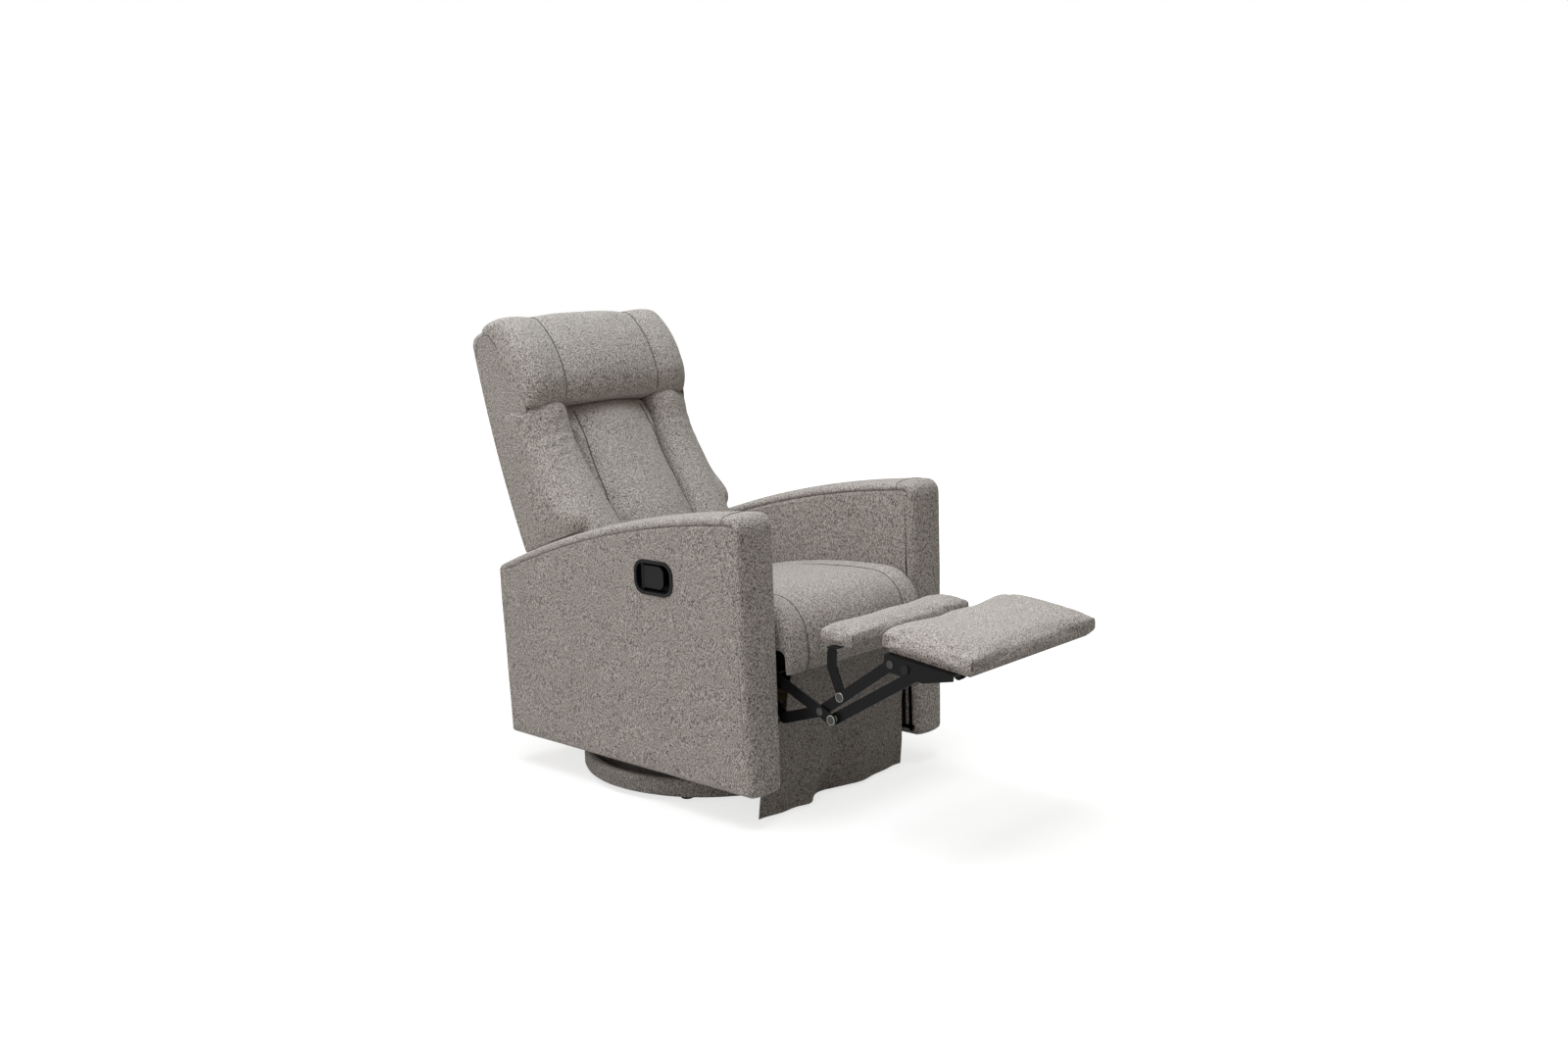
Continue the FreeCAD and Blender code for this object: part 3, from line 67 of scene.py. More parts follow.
# Places that the frame gives, in metres
ARM_LOW, ARM_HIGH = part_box("arm_pad_left")
SEAT_LOW, SEAT_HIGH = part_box("seat_cushion")
BAND_LOW, BAND_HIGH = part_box("base_band")
CUP_LOW, CUP_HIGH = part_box("lever_cup")
SKIRT_LOW, SKIRT_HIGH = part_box("front_skirt")
PIN_LOW, PIN_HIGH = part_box("back_pivot_pins")
BACK_PIVOT = ((PIN_LOW + PIN_HIGH) / 2)[1:]
HEAD_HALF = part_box("headrest_pillow")[1].x
BACK_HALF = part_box("back_rear_cover")[1].x
FINISHES = {}


# Sizes and colours that a user would change

def length_property(name, description, default):
    """Size in metres."""
    return FloatProperty(name=name, description=description, default=default, subtype="DISTANCE",
                         unit="LENGTH")


def angle_property(name, description, default):
    """Angle in radians."""
    return FloatProperty(name=name, description=description, default=default, subtype="ANGLE",
                         unit="ROTATION")


def power_property(name, description, default):
    """Power of a lamp in watts."""
    return FloatProperty(name=name, description=description, default=default, subtype="POWER", unit="POWER")


def colour_property(name, description, default):
    """Opaque colour."""
    return FloatVectorProperty(name=name, description=description, default=(*default, 1.0), subtype="COLOR",
                               size=4, min=0, max=1)


class TweedSettings(bpy.types.PropertyGroup):
    """Colours and yarn of the cover cloth."""
    light: colour_property("Light yarn", "Colour of the pale yarn", (0.760, 0.694, 0.660))
    dark: colour_property("Dark yarn", "Colour of the dark yarn", (0.185, 0.158, 0.148))
    fleck: colour_property("Fleck", "Colour of the short dark flecks", (0.080, 0.066, 0.062))
    yarn: FloatProperty(name="Yarn count", description="Yarns to a metre across the cloth",
                        default=600.0, min=50.0)
    streak: FloatProperty(name="Streak", subtype="FACTOR", default=0.42, min=0.05, max=1.0,
                          description="How fast the pattern changes upwards, as a share of across")


class PaddingSettings(bpy.types.PropertyGroup):
    """How the padded pieces swell."""
    pressure: FloatProperty(name="Pressure", description="Pressure inside a padded cover",
                            default=4.0, min=0.0)
    frames: IntProperty(name="Frames", description="Steps of the swelling", default=20, min=2)
    seam_depth: length_property("Seam depth", "How deep a seam draws the cover in", 0.0055)
    seam_width: length_property("Seam width", "Half width of the valley at a seam", 0.0085)
    thread: length_property("Seam line", "Radius of the closed edge that shows in a seam", 0.0011)


class ArmSettings(bpy.types.PropertyGroup):
    """Form of the arms beyond their box."""
    crest_mid: length_property("Crest height", "Height of the arm at its middle point", 0.612)
    crest_mid_back: length_property("Crest place", "Middle point's distance behind the front", 0.458)
    crest_front: length_property("Front height", "Height where the crest would meet the front", 0.679)
    crest_rear: length_property("Rear height", "Height where the crest would meet the rear", 0.490)
    front_round: length_property("Front round", "Radius of the front top corner", 0.030)
    rear_round: length_property("Rear round", "Radius of the rear top corner", 0.016)
    foot_round: length_property("Foot round", "Radius of the bottom corners", 0.008)
    edge_round: length_property("Edge round", "Radius of the long edges", 0.013)
    crown: length_property("Crown", "How far the top rises between the long edges", 0.0035)
    taper: length_property("Taper", "How far the outer side draws in at the foot", 0.010)
    taper_top: length_property("Taper top", "Height where the taper starts", 0.440)


class StageSettings(bpy.types.PropertyGroup):
    """Camera and light."""
    eye: FloatVectorProperty(name="Camera", description="Place of the camera", subtype="XYZ", unit="LENGTH",
                             size=3, default=(-2.56454, -2.45810, 1.19100))
    azimuth: angle_property("Azimuth", "Turn of the camera about the upright axis", -0.81628)
    pitch: angle_property("Pitch", "How far the camera looks down", 0.16562)
    roll: angle_property("Roll", "Turn of the camera about its line of sight", -0.033798)
    focal: FloatProperty(name="Focal length", description="Focal length in pixels of a 1600 wide image",
                         subtype="PIXEL", default=1591.0)
    key: power_property("Key", "Power of the light overhead", 74.0)
    side: power_property("Side", "Power of the light on the lever side", 22.0)
    foot: power_property("Foot", "Power of the small light above the footrest", 0.7)
    fill: FloatProperty(name="Fill", description="Brightness of the light from all round", default=0.24)


# Meshes

def placed(name, data):
    """New object of some data, in the scene at the origin."""
    obj = bpy.data.objects.new(name, data)
    bpy.context.scene.collection.objects.link(obj)
    return obj


def mesh_object(name, points, faces):
    """New object from an array of points and an array of faces."""
    mesh = bpy.data.meshes.new(name)
    mesh.from_pydata(np.asarray(points, float), [], np.asarray(faces, int))
    mesh.update()
    return placed(name, mesh)


def grid_faces(rows, columns, close_rows=False, close_columns=False, start=0):
    """Quads of a grid of points numbered row by row; a closed direction joins its last line to its first."""
    r = np.arange(rows if close_rows else rows - 1)
    c = np.arange(columns if close_columns else columns - 1)
    i, j = np.meshgrid(r, c, indexing="ij")
    i2 = (i + 1) % rows
    j2 = (j + 1) % columns
    quads = np.stack([i * columns + j, i2 * columns + j, i2 * columns + j2, i * columns + j2], -1)
    return quads.reshape(-1, 4) + start


def weld(obj, distance=0.00005):
    """Merges points that meet, closes the shell and turns its faces outwards."""
    bm = bmesh.new()
    bm.from_mesh(obj.data)
    bmesh.ops.remove_doubles(bm, verts=bm.verts, dist=distance)
    bmesh.ops.dissolve_degenerate(bm, dist=distance / 2, edges=bm.edges)
    bmesh.ops.recalc_face_normals(bm, faces=bm.faces)
    bm.to_mesh(obj.data)
    bm.free()
    obj.data.shade_smooth()
    return obj


def read(items, key, width, kind=np.float32):
    """Array of one value of all points, edges or faces, with a row for each."""
    values = np.empty(len(items) * width, kind)
    items.foreach_get(key, values)
    return values.reshape(-1, width)


def points_of(obj):
    """Places of a mesh's points."""
    return read(obj.data.vertices, "co", 3).astype(float)


def normals_of(obj):
    """Outward directions at a mesh's points."""
    return read(obj.data.vertex_normals, "vector", 3).astype(float)


def edges_of(obj):
    """Pairs of points that a mesh's edges join."""
    return read(obj.data.edges, "vertices", 2, np.int32)


def set_points(obj, points):
    """Moves a mesh's points to new places."""
    obj.data.vertices.foreach_set("co", np.asarray(points, np.float32).ravel())
    obj.data.update()


def smooth(share):
    """Smooth step of a share from 0 to 1."""
    return share * share * (3 - 2 * share)


def evened(path, rounds):
    """Path whose inner points become the mean of themselves and their two neighbours, round by round."""
    for _ in range(rounds):
        path[1:-1] = (path[:-2] + path[1:-1] + path[2:]) / 3
    return path


def relaxed(points, edges, rounds, share=0.5):
    """Points moved towards the mean of their neighbours, by a share in each round."""
    count = len(points)
    a = np.concatenate([edges[:, 0], edges[:, 1]])
    b = np.concatenate([edges[:, 1], edges[:, 0]])
    ties = np.maximum(np.bincount(a, minlength=count), 1)[:, None]
    for _ in range(rounds):
        mean = np.stack([np.bincount(a, points[b, k], count) for k in range(3)], 1) / ties
        points = points + share * (mean - points)
    return points


def ripple(points, height, length, seed):
    """Slow uneven swell: the sum of six sine waves of seeded directions, of about one wave length."""
    dice = np.random.default_rng(seed)
    ways = dice.normal(size=(6, 3))
    ways /= np.linalg.norm(ways, axis=1)[:, None]
    turns = dice.uniform(0.7, 1.5, 6) * 2 * math.pi / length
    phases = dice.uniform(0, 2 * math.pi, 6)
    return height * np.sin(points @ (ways * turns[:, None]).T + phases).sum(1) / 3.0


def finished(obj):
    """The piece with its modifiers applied."""
    return obj.evaluated_get(bpy.context.evaluated_depsgraph_get())


def surface(obj):
    """Search tree of the finished piece."""
    graph = bpy.context.evaluated_depsgraph_get()
    return BVHTree.FromObject(obj.evaluated_get(graph), graph)


def solid_copy(name, node_name, voxel, rounds):
    """Padded form of a frame solid: a merged copy, evened by a voxel remesh and rounded by relaxing."""
    obj = placed(name, frame["nodes"][node_name].data.copy())
    obj.data.materials.clear()
    weld(obj)
    even = obj.modifiers.new("even", "REMESH")
    even.mode = "VOXEL"
    even.voxel_size = voxel
    mesh = bpy.data.meshes.new_from_object(finished(obj))
    old = obj.data
    obj.modifiers.clear()
    obj.data = mesh
    bpy.data.meshes.remove(old)
    mesh.name = name
    if len(mesh.vertices) < 100:
        raise RuntimeError(f"{name}: the remesh of {node_name} is empty")
    set_points(obj, relaxed(points_of(obj), edges_of(obj), rounds))
    mesh.shade_smooth()
    return obj


def press(obj, distance, gate, depth, width):
    """Draws a seam in: points go in along their normals by depth times a bell of their distance."""
    into = depth * np.exp(-(distance / width) ** 2) * gate
    set_points(obj, points_of(obj) - normals_of(obj) * into[:, None])


def swell(obj, pinned, cap):
    """Swells a padded cover by a pressure cloth simulation with its sewn and hidden points pinned, then
    scales each point's move so that none goes further than the cap, and keeps the result in the mesh."""
    scene = bpy.context.scene
    rest = points_of(obj)
    pins = obj.vertex_groups.new(name="sewn")
    pins.add(np.flatnonzero(pinned).tolist(), 1.0, "REPLACE")
    cloth = obj.modifiers.new("swell", "CLOTH")
    for key, value in {"quality": 4, "mass": 0.3, "tension_stiffness": 12, "compression_stiffness": 12,
                       "shear_stiffness": 5, "bending_stiffness": 0.4, "use_pressure": True,
                       "uniform_pressure_force": scene.padding.pressure,
                       "vertex_group_mass": pins.name}.items():
        setattr(cloth.settings, key, value)
    cloth.settings.effector_weights.gravity = 0
    cloth.collision_settings.use_collision = False
    cloth.point_cache.frame_start = 1
    cloth.point_cache.frame_end = scene.padding.frames
    for step in range(1, scene.padding.frames + 1):
        scene.frame_set(step)
    move = read(finished(obj).data.vertices, "co", 3).astype(float) - rest
    obj.modifiers.clear()
    obj.vertex_groups.clear()
    scene.frame_set(1)
    if not np.isfinite(move).all():
        raise RuntimeError(f"{obj.name}: the swelling ran away")
    length = np.linalg.norm(move, axis=1)
    limit = cap * np.tanh(length / cap)
    move *= (limit / np.maximum(length, 1e-9))[:, None]
    set_points(obj, relaxed(rest + move, edges_of(obj), 2, 0.4))


def subdivide(obj):
    """Smooths a cover by one level of subdivision."""
    one = obj.modifiers.new("subdivision", "SUBSURF")
    one.levels = 1
    one.render_levels = 1


def tube(name, path, radius, closed=False):
    """Round profile carried along a path: at each point the ring's axes are the path's direction crossed
    with a fixed leaning vector, and the ends close in a point."""
    sides = 8
    path = np.asarray(path, float)
    if closed:
        way = np.roll(path, -1, 0) - np.roll(path, 1, 0)
    else:
        way = np.gradient(path, axis=0)
    way /= np.maximum(np.linalg.norm(way, axis=1), 1e-9)[:, None]
    lean = np.array([0.31, 0.53, 0.79])
    a = np.cross(way, lean)
    a /= np.linalg.norm(a, axis=1)[:, None]
    b = np.cross(way, a)
    radii = np.full(len(path), radius)
    if not closed:
        radii[[0, -1]] = radius * 0.05
    turn = np.linspace(0, 2 * math.pi, sides, endpoint=False)
    ring = np.cos(turn)[None, :, None] * a[:, None] + np.sin(turn)[None, :, None] * b[:, None]
    points = path[:, None] + radii[:, None, None] * ring
    return weld(mesh_object(name, points.reshape(-1, 3), grid_faces(len(path), sides, closed, True)))


def laid_path(obj, path, lift):
    """Path laid on a piece: each point goes to the nearest point of the finished surface, a little above
    it, and then the path is evened."""
    tree = surface(obj)
    hits = [tree.find_nearest(Vector(p)) for p in np.asarray(path, float)]
    return evened(np.array([h[0] + h[1] * lift for h in hits]), 2)


def joined(name, objs):
    """One object from several meshes."""
    bm = bmesh.new()
    for o in objs:
        bm.from_mesh(o.data)
    mesh = bpy.data.meshes.new(name)
    bm.to_mesh(mesh)
    bm.free()
    mesh.shade_smooth()
    for o in objs:
        old = o.data
        bpy.data.objects.remove(o)
        bpy.data.meshes.remove(old)
    return placed(name, mesh)


# Finishes

def new_group(name, inputs, outputs):
    """Shader node group with named sockets, and its input and output nodes."""
    group = bpy.data.node_groups.new(name, "ShaderNodeTree")
    for label, kind, value in inputs:
        socket = group.interface.new_socket(label, in_out="INPUT", socket_type=kind)
        if value is not None:
            socket.default_value = value
    for label, kind in outputs:
        group.interface.new_socket(label, in_out="OUTPUT", socket_type=kind)
    return group, group.nodes.new("NodeGroupInput"), group.nodes.new("NodeGroupOutput")


def feed(tree, made, inputs):
    """Fills a node's inputs, by name or number: a socket is linked, and anything else is set as the value."""
    for key, value in inputs.items():
        if isinstance(value, bpy.types.NodeSocket):
            tree.links.new(value, made.inputs[key])
        else:
            made.inputs[key].default_value = value


def node(tree, kind, inputs, **options):
    """New node with its options and inputs."""
    made = tree.nodes.new(kind)
    for key, value in options.items():
        setattr(made, key, value)
    feed(tree, made, inputs)
    return made


def math_node(tree, operation, a, b, clamp=False):
    """Result of one step of arithmetic on two sockets or numbers."""
    return node(tree, "ShaderNodeMath", {0: a, 1: b}, operation=operation, use_clamp=clamp).outputs[0]


def line(tree, value, slope, start):
    """Value times a slope, plus a start."""
    return math_node(tree, "ADD", math_node(tree, "MULTIPLY", value, slope), start)


def contrast(tree, value, gain):
    """Value drawn away from a half by a gain, within 0 and 1."""
    away = math_node(tree, "MULTIPLY", math_node(tree, "SUBTRACT", value, 0.5), gain)
    return math_node(tree, "ADD", away, 0.5, clamp=True)


def vector_math(tree, operation, inputs):
    """Result of one step of arithmetic on vectors."""
    return node(tree, "ShaderNodeVectorMath", inputs, operation=operation).outputs[0]


def mix_colour(tree, share, a, b, blend="MIX"):
    """Two colours mixed by a share."""
    return node(tree, "ShaderNodeMix", {0: share, 6: a, 7: b}, data_type="RGBA", blend_type=blend).outputs[2]


def noise(tree, vector, scale, detail, roughness=0.55):
    """Soft random pattern from 0 to 1."""
    return node(tree, "ShaderNodeTexNoise", {"Scale": scale, "Detail": detail, "Roughness": roughness,
                                             "Vector": vector}).outputs["Fac"]


def tweed_group():
    """Woven tweed: pale and dark yarn mixed by noise that is drawn out along Z, short dark flecks where a
    second noise is high, a slow change of tone, and the height of the yarn."""
    group, start, end = new_group(
        "tweed weave",
        [("Place", "NodeSocketVector", None), ("Light", "NodeSocketColor", (0.5, 0.5, 0.5, 1)),
         ("Dark", "NodeSocketColor", (0.2, 0.2, 0.2, 1)), ("Fleck", "NodeSocketColor", (0.1, 0.1, 0.1, 1)),
         ("Yarn", "NodeSocketFloat", 330.0), ("Streak", "NodeSocketFloat", 0.4)],
        [("Color", "NodeSocketColor"), ("Height", "NodeSocketFloat"), ("Roughness", "NodeSocketFloat")])
    given = start.outputs
    upright = math_node(group, "MULTIPLY", given["Yarn"], given["Streak"])
    scale = node(group, "ShaderNodeCombineXYZ", {0: given["Yarn"], 1: given["Yarn"], 2: upright}).outputs[0]
    yarns = vector_math(group, "MULTIPLY", {0: given["Place"], 1: scale})
    fine = noise(group, yarns, 1.0, 2.0, 0.6)
    cloth = mix_colour(group, contrast(group, fine, 7.0), given["Dark"], given["Light"])
    short = noise(group, vector_math(group, "ADD", {0: yarns, 1: (17.3, 5.1, 9.7)}), 0.50, 1.0, 0.5)
    marks = math_node(group, "MULTIPLY", math_node(group, "SUBTRACT", short, 0.60), 9.0, clamp=True)
    flecked = mix_colour(group, math_node(group, "MULTIPLY", marks, 0.85), cloth, given["Fleck"])
    tone = line(group, noise(group, given["Place"], 9.0, 2.0), 0.08, 0.96)
    grey = node(group, "ShaderNodeCombineColor", {0: tone, 1: tone, 2: tone}).outputs[0]
    ribs = math_node(group, "MULTIPLY", noise(group, yarns, 2.1, 1.0), 0.5)
    feed(group, end, {
        "Color": mix_colour(group, 1.0, flecked, grey, "MULTIPLY"),
        "Height": math_node(group, "ADD", math_node(group, "MULTIPLY", fine, 0.7), ribs),
        "Roughness": math_node(group, "SUBTRACT", 0.98, math_node(group, "MULTIPLY", fine, 0.12))})


def grit_group():
    """Fine moulded or painted grit: a small noise for height, and a slow one for dull and rubbed patches."""
    group, start, end = new_group(
        "surface grit",
        [("Place", "NodeSocketVector", None), ("Grit", "NodeSocketFloat", 900.0),
         ("Patch", "NodeSocketFloat", 24.0)],
        [("Height", "NodeSocketFloat"), ("Patch", "NodeSocketFloat")])
    for label, result, detail, gain in (("Grit", "Height", 2.0, 1.0), ("Patch", "Patch", 4.0, 2.2)):
        scaled = vector_math(group, "SCALE", {0: start.outputs["Place"], "Scale": start.outputs[label]})
        feed(group, end, {result: contrast(group, noise(group, scaled, 1.0, detail), gain)})


def new_material(name):
    """Material with its tree, its shader and the place on the piece."""
    mat = bpy.data.materials.new(name)
    mat.use_nodes = True
    tree = mat.node_tree
    place = node(tree, "ShaderNodeTexCoord", {}).outputs["Object"]
    return mat, tree, tree.nodes["Principled BSDF"], place


def bump(tree, height, strength, distance):
    """Normal of a surface with a height."""
    return node(tree, "ShaderNodeBump", {"Strength": strength, "Distance": distance,
                                         "Height": height}).outputs[0]


def tweed_material(name, shade=1.0):
    """Cover cloth; shade darkens all its yarns, which makes the darker copies that paint shade."""
    settings = bpy.context.scene.tweed
    mat, tree, shader, place = new_material(name)
    yarns = {"Light": settings.light, "Dark": settings.dark, "Fleck": settings.fleck}
    yarns = {label: (*(value * shade for value in colour[:3]), 1.0) for label, colour in yarns.items()}
    weave = node(tree, "ShaderNodeGroup", {}, node_tree=bpy.data.node_groups["tweed weave"])
    feed(tree, weave, {**yarns, "Yarn": settings.yarn, "Streak": settings.streak, "Place": place})
    feed(tree, shader, {"Base Color": weave.outputs["Color"], "Roughness": weave.outputs["Roughness"],
                        "Specular IOR Level": 0.2, "Sheen Weight": 0.12, "Sheen Roughness": 0.6,
                        "Normal": bump(tree, weave.outputs["Height"], 0.55, 0.0012)})
    return mat


def grit_material(name, colour, other, roughness, spread, metallic, grit, depth, shine=0.5):
    """Painted, plated or moulded surface: two tones mixed over slow patches, with fine grit."""
    mat, tree, shader, place = new_material(name)
    group = node(tree, "ShaderNodeGroup", {}, node_tree=bpy.data.node_groups["surface grit"])
    feed(tree, group, {"Grit": grit, "Place": place})
    patch_share = group.outputs["Patch"]
    feed(tree, shader, {"Base Color": mix_colour(tree, patch_share, (*colour, 1.0), (*other, 1.0)),
                        "Roughness": line(tree, patch_share, spread, roughness), "Metallic": metallic,
                        "Specular IOR Level": shine,
                        "Normal": bump(tree, group.outputs["Height"], 0.35, depth)})
    return mat


def wood_material():
    """Bare frame wood: rings drawn out along Y, bent by noise, with fine pores."""
    mat, tree, shader, place = new_material("frame wood")
    grain = node(tree, "ShaderNodeMapping", {"Scale": (14.0, 1.4, 14.0), "Vector": place}).outputs[0]
    bands = node(tree, "ShaderNodeTexWave", {"Scale": 1.6, "Distortion": 5.0, "Detail": 3.0, "Vector": grain},
                 wave_type="RINGS", rings_direction="Y").outputs["Fac"]
    pores = noise(tree, grain, 22.0, 3.0)
    rings = mix_colour(tree, bands, (0.50, 0.33, 0.17, 1), (0.66, 0.49, 0.29, 1))
    dark = math_node(tree, "MULTIPLY", pores, 0.35)
    feed(tree, shader, {"Base Color": mix_colour(tree, dark, rings, (0.34, 0.21, 0.10, 1)),
                        "Roughness": line(tree, pores, 0.25, 0.5), "Normal": bump(tree, pores, 0.25, 0.0004)})
    return mat


def webbing_material():
    """Elastic strap: two colours of stripe along the strap with a close crosswise rib."""
    mat, tree, shader, place = new_material("elastic webbing")
    ribs, stripes = (node(tree, "ShaderNodeTexWave", {"Scale": scale, "Vector": place},
                          bands_direction=way).outputs["Fac"] for way, scale in (("X", 130.0), ("Z", 22.0)))
    strap = mix_colour(tree, stripes, (0.03, 0.03, 0.032, 1), (0.16, 0.15, 0.14, 1))
    feed(tree, shader, {"Base Color": strap, "Roughness": line(tree, ribs, 0.15, 0.75),
                        "Normal": bump(tree, ribs, 0.5, 0.0006)})
    return mat


def finishes():
    """Makes the shared groups and the materials once. Each row of the grit gives the name, two tones,
    roughness and its spread, metallic, grit to a metre, its depth and, where it isn't a half, the shine."""
    if FINISHES:
        return FINISHES
    tweed_group()
    grit_group()
    # The second tweed, the cover darkened to 0.30, is painted shade: thin dark lines in the seams and at the
    # bottom of the creases.
    for key, name, shade in (("fabric_cover", "tweed cover", 1.0), ("seam", "tweed painted seam shade", 0.30),
                             # The third tweed, the cover darkened to 0.59, is painted shade for the skirt,
                             # the base rim and the base board, which lie in shadow.
                             ("fabric_painted_shade", "tweed painted shade", 0.59)):
        FINISHES[key] = tweed_material(name, shade)
    FINISHES["wood"] = wood_material()
    FINISHES["webbing"] = webbing_material()
    for key, *row in (
            ("black_steel", "black painted steel", (0.005, 0.005, 0.006), (0.009, 0.009, 0.010),
             0.34, 0.16, 0.0, 700.0, 0.0002, 0.12),
            ("bright_steel", "plated steel", (0.62, 0.61, 0.58), (0.50, 0.49, 0.46),
             0.24, 0.18, 1.0, 900.0, 0.0001),
            ("black_plastic", "moulded black plastic", (0.006, 0.006, 0.007), (0.010, 0.010, 0.011),
             0.34, 0.12, 0.0, 1500.0, 0.00025, 0.14),
            ("pale_plastic", "pale nylon", (0.72, 0.74, 0.66), (0.62, 0.64, 0.56),
             0.42, 0.12, 0.0, 1200.0, 0.0001),
            ("black_rubber", "black rubber", (0.012, 0.012, 0.012), (0.024, 0.024, 0.023),
             0.62, 0.16, 0.0, 1100.0, 0.0003, 0.25),
            ("rivet", "black rivet", (0.030, 0.030, 0.032), (0.09, 0.09, 0.09),
             0.30, 0.20, 0.4, 800.0, 0.0001, 0.3),
            # Black liner cloth, which is also painted shade where the inside of the chair is dark.
            ("liner_and_painted_shade", "black liner and painted shade", (0.008, 0.008, 0.009), (0.014, 0.014, 0.015),
             0.92, 0.06, 0.0, 800.0, 0.0005, 0.1)):
        FINISHES[key] = grit_material(*row)
    return FINISHES


def dress(obj, material, body, replaced=()):
    """Gives a finished piece its material, body, slot, and the frame solids that it stands for."""
    obj.data.materials.append(finishes()[material])
    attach(obj, body)
    if replaced:
        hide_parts(*replaced)
    return obj


# Arms

def arm_loop(settings, along, up):
    """Side outline of an arm as points and outward normals: front line, front round, long crest arc through
    three points, rear round, rear line and the two foot rounds, resampled evenly on its four sides."""
    f, r = ARM_LOW.y, ARM_HIGH.y
    low = ARM_LOW.z
    a = np.array([f, settings.crest_front])
    b = np.array([f + settings.crest_mid_back, settings.crest_mid])
    c = np.array([r, settings.crest_rear])
    m = np.array([b - a, c - b])
    k = np.array([(b @ b - a @ a) / 2, (c @ c - b @ b) / 2])
    centre = np.linalg.solve(m, k)
    big = np.linalg.norm(a - centre)
    rounds = []
    for y, radius in ((f + settings.front_round, settings.front_round),
                      (r - settings.rear_round, settings.rear_round)):
        z = centre[1] + math.sqrt((big - radius) ** 2 - (y - centre[0]) ** 2)
        rounds.append((np.array([y, z]), radius, math.atan2(z - centre[1], y - centre[0])))
    (fc, fr, fa), (rc, rr, ra) = rounds
    foot = settings.foot_round

    def bow(middle, radius, start, stop, count):
        """Points and normals of an arc."""
        t = np.linspace(start, stop, count)
        n = np.stack([np.cos(t), np.sin(t)], 1)
        return middle + radius * n, n

    def run(p, q, n, count):
        """Points of a straight line, which all have one normal."""
        t = np.linspace(0, 1, count)[:, None]
        return p + (q - p) * t, np.tile(n, (count, 1))

    front_low = np.array([f + foot, low + foot])
    rear_low = np.array([r - foot, low + foot])
    mid_f = (math.pi + fa) / 2
    mid_r = ra / 2
    sides = [
        [bow(front_low, foot, -math.pi * 0.75, -math.pi, 12),
         run(np.array([f, low + foot]), np.array([f, fc[1]]), (-1.0, 0.0), 60),
         bow(fc, fr, math.pi, mid_f, 12)],
        [bow(fc, fr, mid_f, fa, 12), bow(centre, big, fa, ra, 160), bow(rc, rr, ra, mid_r, 12)],
        [bow(rc, rr, mid_r, 0.0, 12),
         run(np.array([r, rc[1]]), np.array([r, low + foot]), (1.0, 0.0), 60),
         bow(rear_low, foot, 0.0, -math.pi / 4, 12)],
        [bow(rear_low, foot, -math.pi / 4, -math.pi / 2, 12),
         run(np.array([r - foot, low]), np.array([f + foot, low]), (0.0, -1.0), 90),
         bow(front_low, foot, -math.pi / 2, -math.pi * 0.75, 12)]]
    loops = []
    for side, count in zip(sides, (up, along, up, along)):
        p = np.concatenate([s[0] for s in side])
        n = np.concatenate([s[1] for s in side])
        gone = np.r_[0, np.cumsum(np.linalg.norm(np.diff(p, axis=0), axis=1))]
        at = np.linspace(0, gone[-1], count)
        loops.append(np.stack([np.interp(at, gone, column) for column in (*p.T, *n.T)], 1)[:-1])
    return np.concatenate(loops)


def patch(loop, along, up):
    """Flat panel inside a loop of four sides, as a Coons patch: the blend of both pairs of opposite sides
    less the blend of the four corners."""
    n1, n2, n3 = up - 1, up + along - 2, 2 * up + along - 3
    left = loop[:n1 + 1]
    top = loop[n1:n2 + 1]
    right = loop[n2:n3 + 1][::-1]
    bottom = np.concatenate([loop[n3:], loop[:1]])[::-1]
    s = np.linspace(0, 1, along)[:, None, None]
    t = np.linspace(0, 1, up)[None, :, None]
    flat = (1 - t) * bottom[:, None] + t * top[:, None] + (1 - s) * left[None] + s * right[None]
    return flat - ((1 - s) * (1 - t) * bottom[0] + s * (1 - t) * bottom[-1]
                   + (1 - s) * t * top[0] + s * t * top[-1])


